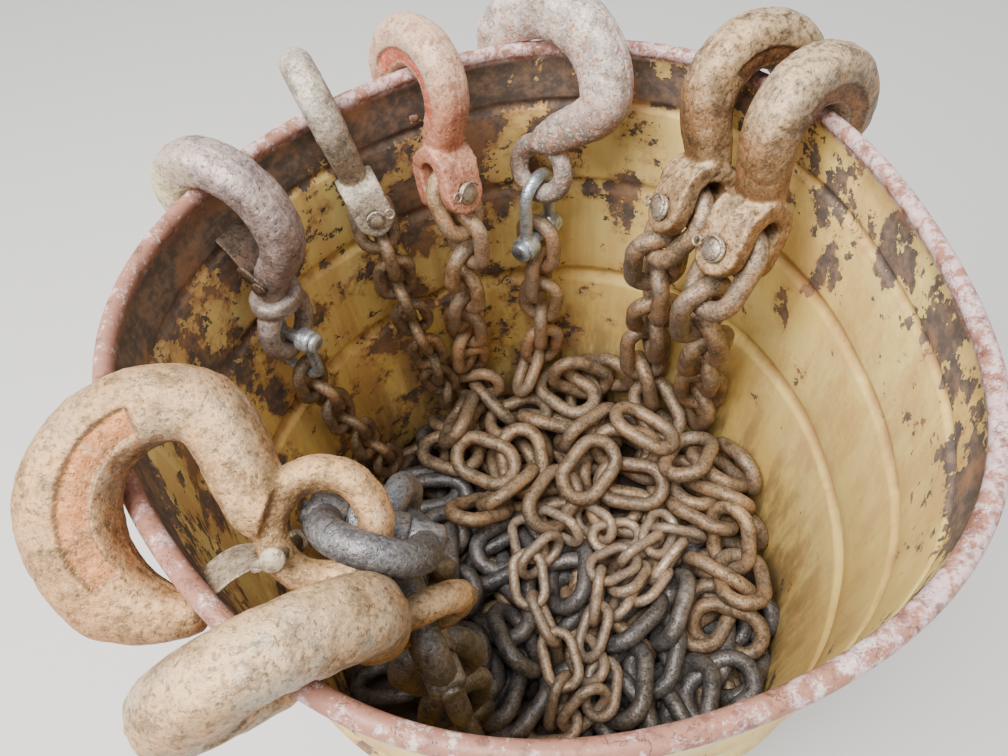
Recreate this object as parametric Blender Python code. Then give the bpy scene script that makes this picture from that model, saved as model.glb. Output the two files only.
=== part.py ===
"""Open steel drum two fifths full of used lifting chain, eight hooks hung on its rim.

Metres, +Z up.  The drum stands on z = 0 with its axis on the Z axis.
"""
import bpy
import bmesh
import math
import numpy as np
from mathutils import Vector
from mathutils.bvhtree import BVHTree

# Driving dimensions of the drum
RIM_HEIGHT = 0.880
CURL_RADIUS = 0.0065
CURL_OFFSET = 0.0048
WALL_INNER = 0.2838
WALL_THICKNESS = 0.0015
RIM_RADIUS = WALL_INNER + CURL_OFFSET
FLOOR_TOP = 0.0120
BENT_DEPTH = 0.600
GAP = 0.0003
DRUM_SIDES = 40
# Beads and hoops rolled into the wall: height of the middle, half width, how far they stand out
BEADS = ((RIM_HEIGHT - 0.055, 0.008, 0.003), (RIM_HEIGHT - 0.155, 0.012, 0.004),
         (RIM_HEIGHT * 0.665, 0.016, 0.007), (RIM_HEIGHT * 0.335, 0.016, 0.007))
# Places in the heap are given for this inner radius and move out or in with the wall
PLACED_FOR = 0.2838
SPREAD = WALL_INNER / PLACED_FOR

# Driving dimensions of the chains: wire, pitch, outside width
CHAIN = {
    "large": (0.0180, 0.0620, 0.0670),
    "small": (0.0125, 0.0480, 0.0470),
    "dark": (0.0200, 0.0640, 0.0720),
    "hang13": (0.0130, 0.0400, 0.0450),
    "hang16": (0.0160, 0.0480, 0.0550),
    "hang18": (0.0180, 0.0520, 0.0600),
    "hang20": (0.0190, 0.0590, 0.0640),
    "coupling": (0.0210, 0.0780, 0.0800),
}
STUD_RADIUS = 0.0070
CROWN_BITE = 0.76
LINK_SIDES = 5
# The five-sided tube is drawn a little wider so that it holds nearly the round wire's volume
SWELL = 1.10
CROWN = SWELL * math.cos(math.pi / 6) / 2
CLEAR = 0.0006


# Small tools
def start_clean():
    for ob in list(bpy.data.objects):
        bpy.data.objects.remove(ob, do_unlink=True)


def unit(v):
    v = np.asarray(v, float)
    return v / np.linalg.norm(v)


def turn(axis, degrees):
    a = unit(axis)
    k = np.array([[0, -a[2], a[1]], [a[2], 0, -a[0]], [-a[1], a[0], 0]])
    t = math.radians(degrees)
    return np.eye(3) + math.sin(t) * k + (1 - math.cos(t)) * k @ k


def material(name, colour, metallic, rough):
    mat = bpy.data.materials.new(name)
    mat.use_nodes = True
    b = mat.node_tree.nodes["Principled BSDF"]
    b.inputs["Base Color"].default_value = (*colour, 1)
    b.inputs["Metallic"].default_value = metallic
    b.inputs["Roughness"].default_value = rough
    return mat


def solid(name, verts, faces, smooth=True):
    me = bpy.data.meshes.new(name)
    me.from_pydata([tuple(map(float, v)) for v in verts], [], faces)
    bm = bmesh.new()
    bm.from_mesh(me)
    bmesh.ops.recalc_face_normals(bm, faces=bm.faces)
    bm.to_mesh(me)
    bm.free()
    if smooth:
        for p in me.polygons:
            p.use_smooth = True
    ob = bpy.data.objects.new(name, me)
    bpy.context.scene.collection.objects.link(ob)
    return ob


def paint(ob, colour, metallic=0.6, rough=0.6):
    ob.data.materials.clear()
    ob.data.materials.append(material(ob.name + "_mat", colour, metallic, rough))
    return ob


def tidy_up(me):
    """Two ridges that cross can leave slivers or shut in a tiny void; take these away."""
    bm = bmesh.new()
    bm.from_mesh(me)
    bmesh.ops.dissolve_degenerate(bm, dist=0.00001, edges=bm.edges)
    bmesh.ops.triangulate(bm, faces=[f for f in bm.faces if len(f.verts) > 4])
    seen = set()
    drop = []
    for face in bm.faces:
        if face in seen:
            continue
        group, stack = set(), [face]
        while stack:
            f = stack.pop()
            if f in group:
                continue
            group.add(f)
            stack += [g for e in f.edges for g in e.link_faces if g not in group]
        seen |= group
        if len(group) < 12:
            drop += group
    bmesh.ops.delete(bm, geom=drop, context="FACES")
    bm.to_mesh(me)
    bm.free()


def combine(ob, other, operation):
    other.hide_render = True
    other.display_type = "WIRE"
    mod = ob.modifiers.new("bool", "BOOLEAN")
    mod.operation = operation
    mod.solver = "EXACT"
    mod.object = other
    dep = bpy.context.evaluated_depsgraph_get()
    me = bpy.data.meshes.new_from_object(ob.evaluated_get(dep))
    ob.modifiers.clear()
    ob.data = me
    bpy.data.objects.remove(other, do_unlink=True)
    if operation == "UNION":
        tidy_up(me)
    for p in me.polygons:
        p.use_smooth = True
    return ob


def tube(name, rings, closed=False):
    """A skin over rings of points; the open ends are capped flat."""
    n = len(rings[0])
    verts = [p for r in rings for p in r]
    faces = []
    m = len(rings)
    for i in range(m if closed else m - 1):
        j = (i + 1) % m
        for k in range(n):
            q = (k + 1) % n
            faces.append((i * n + k, i * n + q, j * n + q, j * n + k))
    if not closed:
        faces.append(tuple(range(n))[::-1])
        faces.append(tuple((m - 1) * n + k for k in range(n)))
    return solid(name, verts, faces)


def rod(name, start, end, radius, sides=12, radius_end=None):
    start, end = np.array(start, float), np.array(end, float)
    d = unit(end - start)
    side = unit(np.cross(d, [0.3, 0.5, 0.81]))
    up = np.cross(d, side)
    r1 = radius if radius_end is None else radius_end
    rings = []
    for p, r in ((start, radius), (end, r1)):
        rings.append([p + r * (math.cos(t) * side + math.sin(t) * up)
                      for t in np.arange(sides) * 2 * math.pi / sides])
    return tube(name, rings)


# The drum: rolled steel sheet, bent out of round at the rim
def out_of_round(theta, z):
    k = np.clip(1 - (RIM_HEIGHT - z) / BENT_DEPTH, 0, 1)
    k = k * k * (3 - 2 * k)
    d = (0.5 * np.cos(2 * theta) + 1.6 * np.sin(2 * theta) - 7.3 * np.cos(3 * theta)
         - 1.5 * np.sin(3 * theta) + 0.6 * np.cos(4 * theta) - 3.0 * np.sin(4 * theta)
         - 2.5 * np.cos(5 * theta) - 1.0 * np.sin(5 * theta))
    return k * d / 1000


def bead(z):
    """Rolled beads and hoops that stand out of the wall."""
    out = 0.0
    for centre, half, height in BEADS:
        s = abs(z - centre) / half
        if s < 1:
            out += height * 0.5 * (1 + math.cos(math.pi * s))
    return out


def drum():
    heights = [0.000, 0.020]
    for centre, half, height in sorted(BEADS):
        heights += [centre - half, centre, centre + half]
    outside = [(WALL_INNER + WALL_THICKNESS + bead(z), z) for z in heights]
    curl = []
    for deg in (-50, 0, 50, 90, 130, 180, 230):
        t = math.radians(deg)
        curl.append((RIM_RADIUS + CURL_RADIUS * math.cos(t), RIM_HEIGHT + CURL_RADIUS * math.sin(t)))
    inside = [(WALL_INNER + bead(z), z) for z in heights[:1:-1]]
    inside.append((WALL_INNER, FLOOR_TOP))
    profile = outside + curl + inside
    verts = []
    for r, z in profile:
        for k in range(DRUM_SIDES):
            t = 2 * math.pi * k / DRUM_SIDES
            rr = r + float(out_of_round(np.array(t), z))
            verts.append((rr * math.cos(t), rr * math.sin(t), z))
    faces = []
    m = len(profile)
    n = DRUM_SIDES
    for i in range(m - 1):
        for k in range(n):
            q = (k + 1) % n
            faces.append((i * n + k, i * n + q, (i + 1) * n + q, (i + 1) * n + k))
    faces.append(tuple(range(n))[::-1])
    faces.append(tuple((m - 1) * n + k for k in range(n)))
    return paint(solid("drum_shell", verts, faces), (0.42, 0.34, 0.18), 0.2, 0.6)


# The heap: what lies under the links that can be seen is one plain mound
def mound(x, y):
    far = (x - 0.07 * SPREAD) ** 2 + (y - 0.19 * SPREAD) ** 2
    return 0.340 + 0.050 * np.exp(-far / (0.15 * SPREAD) ** 2)


def core():
    n = 32
    verts = []
    rows = [(FLOOR_TOP + GAP, 1.0)]
    for z, f in rows:
        for k in range(n):
            t = 2 * math.pi * k / n
            r = (WALL_INNER - 0.0025) * f
            verts.append((r * math.cos(t), r * math.sin(t), z))
    rings = 5
    for j in range(rings):
        f = 1 - j / rings
        for k in range(n):
            t = 2 * math.pi * k / n
            r = (WALL_INNER - 0.0055) * f
            x, y = r * math.cos(t), r * math.sin(t)
            verts.append((x, y, float(mound(x, y))))
    verts.append((0, 0, float(mound(0.0, 0.0))))
    faces = [tuple(range(n))[::-1]]
    for j in range(rings):
        for k in range(n):
            q = (k + 1) % n
            faces.append((j * n + k, j * n + q, (j + 1) * n + q, (j + 1) * n + k))
    top = len(verts) - 1
    for k in range(n):
        faces.append((rings * n + k, rings * n + (k + 1) % n, top))
    return paint(solid("heap_core", verts, faces), (0.10, 0.07, 0.05), 0.5, 0.8)


# Links
def half_length(kind):
    """From the middle of a link to the centre of its crown's wire; neighbours bite into each other."""
    d, p, w = CHAIN[kind]
    return (p + CROWN_BITE * d) / 2


def link_path(kind):
    """The centre line of one link, eight points, long axis on local x, lying in local xy."""
    d, p, w = CHAIN[kind]
    r = (w - d) / 2
    bend = r * 1.06
    a = half_length(kind) - bend * math.cos(math.pi / 6)
    pts = []
    for side in (1, -1):
        pts.append((side * a, -side * r, 0))
        for deg in (-30, 30):
            t = math.radians(deg)
            pts.append((side * (a + bend * math.cos(t)), side * bend * math.sin(t), 0))
        pts.append((side * a, side * r, 0))
    return np.array(pts)


def link_solid(name, path, frame, centre, wire, sides=LINK_SIDES):
    n = len(path)
    rings = []
    for i in range(n):
        t = unit(path[(i + 1) % n] - path[i - 1])
        out = np.array([t[1], -t[0], 0])
        rings.append([path[i] + SWELL * wire / 2 * (math.cos(s) * out + math.sin(s) * np.array([0, 0, 1]))
                      for s in np.arange(sides) * 2 * math.pi / sides + math.pi])
    rings = [[frame @ q + centre for q in r] for r in rings]
    return tube(name, rings, closed=True)


def link_frame(heading, slope, roll):
    return turn([0, 0, 1], heading) @ turn([0, 1, 0], -slope) @ turn([1, 0, 0], roll)


def hung(wire_centre, wire_axis, down, reach, kind):
    """A link whose crown goes round a wire, pin or ring and that hangs from it along `down`."""
    d = np.asarray(down, float)
    ax = unit(wire_axis)
    d = unit(d - ax * (d @ ax))
    half = half_length(kind)
    frame = np.stack([d, np.cross(ax, d), ax], axis=1)
    return frame, np.asarray(wire_centre) - d * reach + d * half


# Hooks: one forged body each, the bowl hung on the rim
BOWL = dict(bowl=0.0370, deep=0.0560, wide=0.0430, shank=0.0507, flare=0.010, back=0.75, neck=0.66, tip=-8)
CAST = dict(bowl=0.0245, deep=0.0470, wide=0.0460, shank=0.0735, tip=-10)
HOOKS = {
    "a": dict(BOWL, at=216.1, yaw=-31.4, lean=55.3, swing=82.0, touch=76.3, shift=(0.0035, 0.0141)),
    "b": dict(BOWL, at=240.3, yaw=-33.6, lean=-10.5, swing=56.4, touch=123.0, shift=(-0.0008, 0.0009)),
    "c": dict(at=156.2, yaw=-1.1, lean=2.8, swing=13.6, bowl=0.0346, deep=0.0356, wide=0.0378,
              shank=0.0798, touch=75.7, back=0.95, neck=0.80, shift=(-0.0021, 0.0011)),
    "d": dict(at=131.3, yaw=-15.8, lean=-9.0, swing=33.8, bowl=0.0241, deep=0.0317, wide=0.0291,
              shank=0.0690, touch=142.3, neck=0.78, shift=(0.0073, 0.0069)),
    "e": dict(at=112.6, yaw=20.5, lean=11.6, swing=37.3, bowl=0.0214, deep=0.0429, wide=0.0374,
              shank=0.0622, touch=96.6, shift=(0.0033, -0.0012)),
    "f": dict(at=86.9, yaw=58.3, lean=15.9, swing=10.0, bowl=0.0414, deep=0.0507, wide=0.0444,
              shank=0.0559, touch=100.8, back=0.88, neck=0.62, tip=0, shift=(-0.0058, 0.0029)),
    "g": dict(CAST, at=49.1, yaw=-26.8, lean=-20.1, swing=42.0, touch=77.3, shift=(0.0051, -0.0019)),
    "h": dict(CAST, at=38.4, yaw=-2.7, lean=-11.6, swing=47.4, touch=93.4, shift=(-0.0013, 0.0013)),
}
POINT_SHARE = 0.42


def hook_frame(h):
    t = math.radians(h["at"])
    r = RIM_RADIUS + float(out_of_round(np.array(t), RIM_HEIGHT))
    rim = np.array([r * math.cos(t), r * math.sin(t), RIM_HEIGHT])
    m = turn([0, 0, 1], h["at"] + h["yaw"]) @ turn([1, 0, 0], h["lean"]) @ turn([0, 1, 0], h["swing"])
    a = math.radians(h["touch"])
    rest = np.array([math.cos(a), 0, math.sin(a)]) * (h["bowl"] - CURL_RADIUS - GAP)
    out, lift = h.get("shift", (0, 0))
    shift = np.array([out * math.cos(t), out * math.sin(t), lift])
    return m, rim + shift - m @ rest


def hook_line(h, arc=9, straight=5):
    """Stations from the point round the bowl and down the shank: place, heading, depth, width."""
    tip, back, neck = h.get("tip", -35), h.get("back", 0.92), h.get("neck", 0.74)
    out = []
    for k in range(arc):
        t = k / (arc - 1)
        deg = tip + (180 - tip) * t
        a = math.radians(deg)
        deep = h["deep"] * np.interp(deg, [tip, 35, 90, 180], [POINT_SHARE, 0.88, 1.0, back])
        wide = h["wide"] * (0.6 + 0.4 * min(t / 0.4, 1))
        opened = h.get("flare", 0.0) * max(0.0, (70 - deg) / 70) ** 1.6
        out.append((np.array([math.cos(a), math.sin(a)]) * (h["bowl"] + opened + deep / 2),
                    np.array([-math.sin(a), math.cos(a)]), deep, wide))
    p0, d0 = out[-1][0], np.array([0.0, -1.0])
    p3, d3 = np.array([0.0, -h["shank"]]), unit([0.25, -1.0])
    p1, p2 = p0 + d0 * h["shank"] * 0.5, p3 - d3 * h["shank"] * 0.35
    for k in range(1, straight + 1):
        t = k / straight
        c = (1 - t) ** 3 * p0 + 3 * (1 - t) ** 2 * t * p1 + 3 * (1 - t) * t * t * p2 + t ** 3 * p3
        d = unit(3 * (1 - t) ** 2 * (p1 - p0) + 6 * (1 - t) * t * (p2 - p1) + 3 * t * t * (p3 - p2))
        out.append((c, d, h["deep"] * (back + (neck - back) * t), h["wide"] * (1 - 0.15 * t)))
    return out


def hook_body(key, sides=8):
    h = HOOKS[key]
    m, o = hook_frame(h)
    rings = []
    for c, d, deep, wide in hook_line(h):
        n = np.array([d[1], -d[0]])
        ring = []
        for s in np.arange(sides) * 2 * math.pi / sides:
            q = c + n * math.cos(s) * deep / 2
            ring.append(m @ np.array([q[0], math.sin(s) * wide / 2, q[1]]) + o)
        rings.append(ring)
    return tube("hook_" + key, rings), m, o


END = unit([0.25, 0, -1.0])
ACROSS = unit([1.0, 0, 0.25])
FLAT = np.array([0, 1.0, 0])
frames = {}


def plate(name, m, o, start, stop, radius, low, high, through=FLAT, steps=7):
    """A flat bar with round ends, from low to high along the direction that it is seen flat from."""
    start, stop = np.array(start, float), np.array(stop, float)
    d = unit(stop - start)
    s = np.cross(through, d)
    outline = []
    for centre, sign in ((stop, 1), (start, -1)):
        for k in range(steps):
            t = math.pi * k / (steps - 1) - math.pi / 2
            outline.append(centre + radius * sign * (math.cos(t) * d + math.sin(t) * s))
    rings = [[m @ (q + through * y) + o for q in outline] for y in (low, high)]
    return tube(name, rings)


# The clevis at a hook's end: pin radius, half the slot, thickness and radius of an ear
EARS = {
    "d": (0.0068, 0.0095, 0.0120, 0.0180),
    "e": (0.0082, 0.0112, 0.0140, 0.0205),
    "g": (0.0092, 0.0132, 0.0170, 0.0225),
    "h": (0.0092, 0.0132, 0.0170, 0.0225),
}
LINK_SHARE = 1.10
SLOT_PLAY = 0.006


def clevis_hook(key, wire, colour):
    """Two ears below the shank with a pin through them; returns hook, pin and the pin's place."""
    h = HOOKS[key]
    hook, m, o = hook_body(key)
    pin_r, half, ear, er = EARS[key]
    out = half + ear
    root = np.array([0, 0, -h["shank"]])
    pin_at = root + END * (pin_r + LINK_SHARE * wire + SLOT_PLAY)
    head = plate("clevis", m, o, root - END * er * 0.35, pin_at, er, -out, out, ACROSS)
    shoulders = plate("shoulders", m, o, root + END * out * 0.45, pin_at + END * 0.08, out,
                      -er * 1.2, er * 1.2)
    combine(head, shoulders, "INTERSECT")
    combine(hook, head, "UNION")
    slot = plate("slot", m, o, root + END * half, pin_at + END * 0.08, half, -er * 1.5, er * 1.5)
    combine(hook, slot, "DIFFERENCE")
    bore = rod("bore", m @ (pin_at - ACROSS * 0.08) + o, m @ (pin_at + ACROSS * 0.08) + o, pin_r + 0.0006)
    combine(hook, bore, "DIFFERENCE")
    paint(hook, colour, 0.6, 0.6)
    pin = rod("pin_" + key, m @ (pin_at - ACROSS * (out + 0.006)) + o,
              m @ (pin_at + ACROSS * (out + 0.004)) + o, pin_r)
    head = rod("head", m @ (pin_at - ACROSS * (out + GAP)) + o,
               m @ (pin_at - ACROSS * (out + 0.004)) + o, pin_r * 1.25)
    combine(pin, head, "UNION")
    paint(pin, (0.35, 0.30, 0.25), 0.8, 0.5)
    frames[key] = m
    return hook, pin, m @ pin_at + o, m @ ACROSS, pin_r


def ring_solid(name, m, o, centre, radius, wire_r, flat=FLAT, long=1.0, count=14, sides=10):
    """A closed ring that is seen round along `flat`; `long` stretches it along the hook's end."""
    side = np.cross(flat, END)
    rings = []
    for k in range(count):
        t = 2 * math.pi * k / count
        rad = math.cos(t) * END * long + math.sin(t) * side
        c = np.array(centre) + radius * rad
        out = unit(math.cos(t) * END / long + math.sin(t) * side)
        rings.append([m @ (c - wire_r * (math.cos(s) * out + math.sin(s) * flat)) + o
                      for s in np.arange(sides) * 2 * math.pi / sides])
    return tube(name, rings, closed=True)


def eye_hook(key, radius, wire_r, colour):
    h = HOOKS[key]
    hook, m, o = hook_body(key)
    centre = np.array([0, 0, -h["shank"]]) + END * radius * 0.98
    combine(hook, ring_solid("eye", m, o, centre, radius, wire_r), "UNION")
    paint(hook, colour, 0.6, 0.6)
    return hook, m, o, centre


def hanging_place(m, o, centre, radius, way=None):
    """The wire's middle and direction where a link hangs in a ring: at its lowest point, or along `way`."""
    d = m.T @ np.array([0, 0, -1.0]) if way is None else way
    rad = unit(np.array([d[0], 0, d[2]]))
    return m @ (centre + rad * radius) + o, m @ np.array([-rad[2], 0, rad[0]])


def rod_pin(name, at, axis, half_length, radius, head_radius, head):
    """A plain pin with a wide head past its far end."""
    pin = rod(name, at - axis * half_length, at + axis * (half_length + head), radius)
    cap = rod("cap", at + axis * (half_length + GAP), at + axis * (half_length + head),
              head_radius, 10)
    return combine(pin, cap, "UNION")


def shackle(name, top, d, side, wire, inner, length, colour):
    """A bow whose crown's wire has its middle at `top`; its drilled ears stand `length` along d."""
    ax = unit(np.cross(d, side))
    r = inner / 2 + wire / 2
    bend = top + d * r
    pts = []
    ear_at = top + d * length
    for k in range(7):
        t = math.pi * k / 6
        pts.append(bend - d * r * math.sin(t) + side * r * math.cos(t))
    pts = [ear_at + side * r] + pts + [ear_at - side * r]
    rings = []
    n = len(pts)
    for i, c in enumerate(pts):
        t = unit(pts[min(i + 1, n - 1)] - pts[max(i - 1, 0)])
        u = unit(np.cross(t, ax))
        rings.append([c + wire / 2 * (math.cos(s) * u + math.sin(s) * ax)
                      for s in np.arange(8) * 2 * math.pi / 8])
    bow = tube(name, rings)
    for sign in (1, -1):
        boss = rod("boss", ear_at + side * sign * (r - wire * 0.62), ear_at + side * sign * (r + wire * 0.62),
                   wire * 1.05, 12)
        combine(bow, boss, "UNION")
    pin_r = wire * 0.56
    bore = rod("bore", ear_at - side * 0.1, ear_at + side * 0.1, pin_r + 0.0006)
    combine(bow, bore, "DIFFERENCE")
    paint(bow, colour, 0.8, 0.4)
    pin = rod_pin("pin_" + name, ear_at, side, r + wire * 0.62, pin_r, wire * 0.85, wire * 0.55)
    paint(pin, colour, 0.8, 0.4)
    return ear_at, pin_r


# Settling: rigid links pushed clear of each other, of the wall and of the mound
def closest(a0, a1, b0, b1):
    d1, d2, r = a1 - a0, b1 - b0, a0 - b0
    aa, ee, ff = (d1 * d1).sum(-1), (d2 * d2).sum(-1), (d2 * r).sum(-1)
    cc, bb = (d1 * r).sum(-1), (d1 * d2).sum(-1)
    den = aa * ee - bb * bb
    s = np.clip((bb * ff - cc * ee) / np.maximum(den, 1e-14), 0, 1)
    t = np.clip((bb * s + ff) / ee, 0, 1)
    s = np.clip((bb * t - cc) / aa, 0, 1)
    return a0 + s[..., None] * d1, b0 + t[..., None] * d2


def rotations(w):
    """Small rotation vectors, one per row, as matrices."""
    ang = np.linalg.norm(w, axis=1)
    a = w / np.maximum(ang, 1e-12)[:, None]
    k = np.zeros((len(w), 3, 3))
    k[:, 0, 1], k[:, 0, 2], k[:, 1, 2] = -a[:, 2], a[:, 1], -a[:, 0]
    k[:, 1, 0], k[:, 2, 0], k[:, 2, 1] = a[:, 2], -a[:, 1], a[:, 0]
    s, c = np.sin(ang)[:, None, None], np.cos(ang)[:, None, None]
    return np.eye(3) + s * k + (1 - c) * k @ k


def settle(links, rounds=480, quiet=220):
    """links: rows of kind, centre, frame, run, order, held.  Moves the free ones; returns the worst bite."""
    n = len(links)
    kinds = sorted({l["kind"] for l in links})
    paths = {k: link_path(k) for k in kinds}
    local = np.stack([paths[l["kind"]] for l in links])
    wire = np.array([CHAIN[l["kind"]][0] for l in links])
    size = np.array([np.abs(p).max() for p in local]) + wire / 2
    c = np.stack([l["centre"] for l in links])
    m = np.stack([l["frame"] for l in links])
    home = c.copy()
    free = np.array([0.0 if l["held"] else 1.0 for l in links])
    run = np.array([hash_run(l["run"]) for l in links])
    order = np.array([l["order"] for l in links])
    spin = (0.36 * size) ** 2
    worst = 0.0
    for it in range(rounds):
        pts = np.einsum("nij,nkj->nki", m, local) + c[:, None]
        if it % 6 == 0:
            gap = np.linalg.norm(c[:, None] - c[None], axis=2)
            ii, jj = np.nonzero(np.triu(gap < size[:, None] + size[None] + 0.012, 1))
            keep = (free[ii] + free[jj]) > 0
            ii, jj = ii[keep], jj[keep]
            near = (run[ii] == run[jj]) & (np.abs(order[ii] - order[jj]) == 1)
            want = (wire[ii] + wire[jj]) / 2
            want = np.where(near, want * CROWN_BITE, want * SWELL + CLEAR)
        a0, a1 = pts[ii][:, :, None], np.roll(pts, -1, 1)[ii][:, :, None]
        b0, b1 = pts[jj][:, None], np.roll(pts, -1, 1)[jj][:, None]
        a0, b0 = np.broadcast_arrays(a0, b0)
        a1, b1 = np.broadcast_arrays(a1, b1)
        pa, pb = closest(a0, a1, b0, b1)
        v = pa - pb
        dist = np.linalg.norm(v, axis=-1)
        bite = want[:, None, None] - dist
        hit = bite > 0
        low = dist.reshape(len(ii), -1).argmin(1)
        far = near & (bite.reshape(len(ii), -1).max(1) < -0.0001)
        hit.reshape(len(ii), -1)[np.nonzero(far)[0], low[far]] = True
        q, x, y = np.nonzero(hit)
        nrm = v[q, x, y] / np.maximum(dist[q, x, y], 1e-9)[:, None]
        depth = bite[q, x, y]
        worst = float(depth[~near[q]].max()) if (~near[q]).any() else 0.0
        ra, rb = pa[q, x, y] - c[ii[q]], pb[q, x, y] - c[jj[q]]
        ta, tb = np.cross(ra, nrm), np.cross(rb, nrm)
        wa = free[ii[q]] * (1 + (ta ** 2).sum(1) / spin[ii[q]])
        wb = free[jj[q]] * (1 + (tb ** 2).sum(1) / spin[jj[q]])
        lam = depth / np.maximum(wa + wb, 1e-9)
        move, rot, cnt = np.zeros((n, 3)), np.zeros((n, 3)), np.zeros(n)
        np.add.at(move, ii[q], lam[:, None] * nrm)
        np.add.at(move, jj[q], -lam[:, None] * nrm)
        np.add.at(rot, ii[q], lam[:, None] * ta / spin[ii[q]][:, None])
        np.add.at(rot, jj[q], -lam[:, None] * tb / spin[jj[q]][:, None])
        np.add.at(cnt, ii[q], 1)
        np.add.at(cnt, jj[q], 1)
        rad = np.linalg.norm(pts[:, :, :2], axis=2)
        wall = WALL_INNER + out_of_round(np.arctan2(pts[:, :, 1], pts[:, :, 0]), pts[:, :, 2]) - 0.0012
        over = rad + SWELL * wire[:, None] / 2 + CLEAR - wall
        under = mound(pts[:, :, 0], pts[:, :, 1]) + SWELL * wire[:, None] / 2 + CLEAR + 0.0012 - pts[:, :, 2]
        for deep, kind in ((over, 0), (under, 1)):
            k, x = np.nonzero(deep > 0)
            nrm = np.zeros((len(k), 3))
            if kind == 0:
                nrm[:, :2] = -pts[k, x, :2] / np.maximum(rad[k, x], 1e-6)[:, None]
            else:
                nrm[:, 2] = 1
            r = pts[k, x] - c[k]
            t = np.cross(r, nrm)
            w = 1 + (t ** 2).sum(1) / spin[k]
            lam = deep[k, x] / w
            np.add.at(move, k, lam[:, None] * nrm)
            np.add.at(rot, k, lam[:, None] * t / spin[k][:, None])
            np.add.at(cnt, k, 1)
        share = free / np.maximum(cnt * 0.55, 1)
        move *= share[:, None]
        rot *= share[:, None]
        if it < rounds - quiet:
            pull = 0.04 * (home - c)
            pull[:, 2] = 0.02 * (home[:, 2] - c[:, 2]) - 0.00025
            move += pull * free[:, None]
        step = np.linalg.norm(move, axis=1)
        move *= np.minimum(1, 0.004 / np.maximum(step, 1e-9))[:, None]
        ang = np.linalg.norm(rot, axis=1)
        rot *= np.minimum(1, 0.12 / np.maximum(ang, 1e-9))[:, None]
        c = c + move
        m = rotations(rot) @ m
    for l, cc, mm in zip(links, c, m):
        l["centre"], l["frame"] = cc, mm
    return worst


RUN_NUMBER = {}


def hash_run(name):
    return RUN_NUMBER.setdefault(name, len(RUN_NUMBER))


# Where the links that can be seen lie: x, y, height, heading, roll (millimetres, degrees)
HEAP = {
    "rusty_01": ("large", [(55, 260, 436, -105, 20), (95, 270, 438, 90, 20), (170, 195, 438, -25, 10),
                           (185, 120, 440, -135, 20), (130, 145, 446, 145, 30),
                           (60, 160, 440, -160, 80)]),
    "rusty_02": ("large", [(35, 210, 430, -20, 15)]),
    "rusty_03": ("large", [(-75, 225, 420, 170, 70), (-110, 190, 424, -105, 75), (-70, 110, 432, -30, 15),
                           (-25, 115, 436, -75, 15), (-45, 80, 424, -145, 80),
                           (-85, 50, 412, -140, 80)]),
    "rusty_04": ("large", [(-95, 175, 412, -95, 75)]),
    "rusty_05": ("large", [(10, 175, 424, 175, 60), (-30, 195, 416, 20, 20)]),
    "rusty_06": ("large", [(10, 65, 426, 30, 35), (55, 100, 432, 45, 30)]),
    "rusty_07": ("large", [(110, 135, 420, -25, 60)]),
    "rusty_08": ("large", [(112, 90, 408, -10, 10), (98, 62, 396, 5, 10)]),
    "rusty_09": ("large", [(260, 115, 424, -85, 60), (230, 115, 416, -40, 10), (220, 75, 414, -40, 50),
                           (230, 20, 412, -85, 75), (230, -30, 396, -110, 15), (200, -30, 392, -40, 80),
                           (185, -70, 372, -115, 15), (210, -85, 366, -50, 70)]),
    "rusty_10": ("large", [(185, 95, 400, -40, 20), (190, 60, 392, -25, 60)]),
    "rusty_11": ("large", [(-128, 146, 392, -55, 20)]),
    "small_01": ("small", [(20, 25, 408, 150, 75), (-20, 20, 404, -75, 10), (-10, 0, 408, -105, 80),
                           (-20, -35, 404, -90, 10), (-5, -80, 404, -70, 80), (9, -130, 404, -90, 10),
                           (5, -160, 394, -105, 80), (-5, -180, 386, -180, 20)]),
    "small_02": ("small", [(90, 20, 402, -165, 15), (80, -25, 412, -130, 15), (56, -53, 410, -95, 80),
                           (55, -95, 404, -100, 12), (45, -125, 398, -85, 20), (60, -150, 394, -100, 15),
                           (35, -170, 388, -165, 70)]),
    "small_03": ("small", [(60, 45, 402, -75, 70)]),
    "small_04": ("small", [(140, 30, 404, 55, 15), (165, 30, 406, 5, 80), (122, 0, 408, -150, 75),
                           (96, -34, 398, -140, 75)]),
    "small_05": ("small", [(150, -10, 402, -140, 80), (125, -40, 394, -150, 20),
                           (95, -50, 398, -125, 75)]),
    "dark_01": ("dark", [(145, -60, 384, -140, 70), (120, -110, 376, -125, 15), (85, -140, 372, -90, 75),
                         (80, -170, 366, -5, 60)]),
    "dark_02": ("dark", [(100, -80, 372, -135, 70)]),
    "dark_03": ("dark", [(155, -155, 374, 85, 65), (195, -145, 368, -120, 15)]),
    "dark_04": ("dark", [(20, -30, 380, -75, 30), (15, -20, 368, 25, 20)]),
    "dark_05": ("dark", [(-35, -110, 384, -90, 80), (-30, -160, 362, -135, 70),
                         (-60, -145, 364, -90, 45)]),
    "dark_06": ("dark", [(-50, 20, 384, 15, 30), (-60, -5, 374, -150, 20), (-55, -55, 374, -50, 20)]),
    "dark_07": ("dark", [(-125, -40, 380, 5, 20), (-100, -100, 372, -60, 75),
                         (-80, -130, 366, -35, 10)]),
    "dark_08": ("dark", [(-140, 20, 372, 85, 30), (-105, -5, 370, -70, 60)]),
    "dark_09": ("dark", [(-155, 105, 372, 30, 20), (-145, 85, 366, -35, 70)]),
}
RUST = {"large": (0.30, 0.19, 0.11), "small": (0.32, 0.22, 0.14), "dark": (0.11, 0.10, 0.10)}


def heap_links():
    rows = []
    for name, (kind, spots) in HEAP.items():
        for k, (x, y, z, heading, roll) in enumerate(spots):
            rows.append(dict(kind=kind, centre=spot(x, y, z), run=name, order=k,
                             frame=link_frame(heading, 0, roll), held=False))
    return rows


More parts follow.
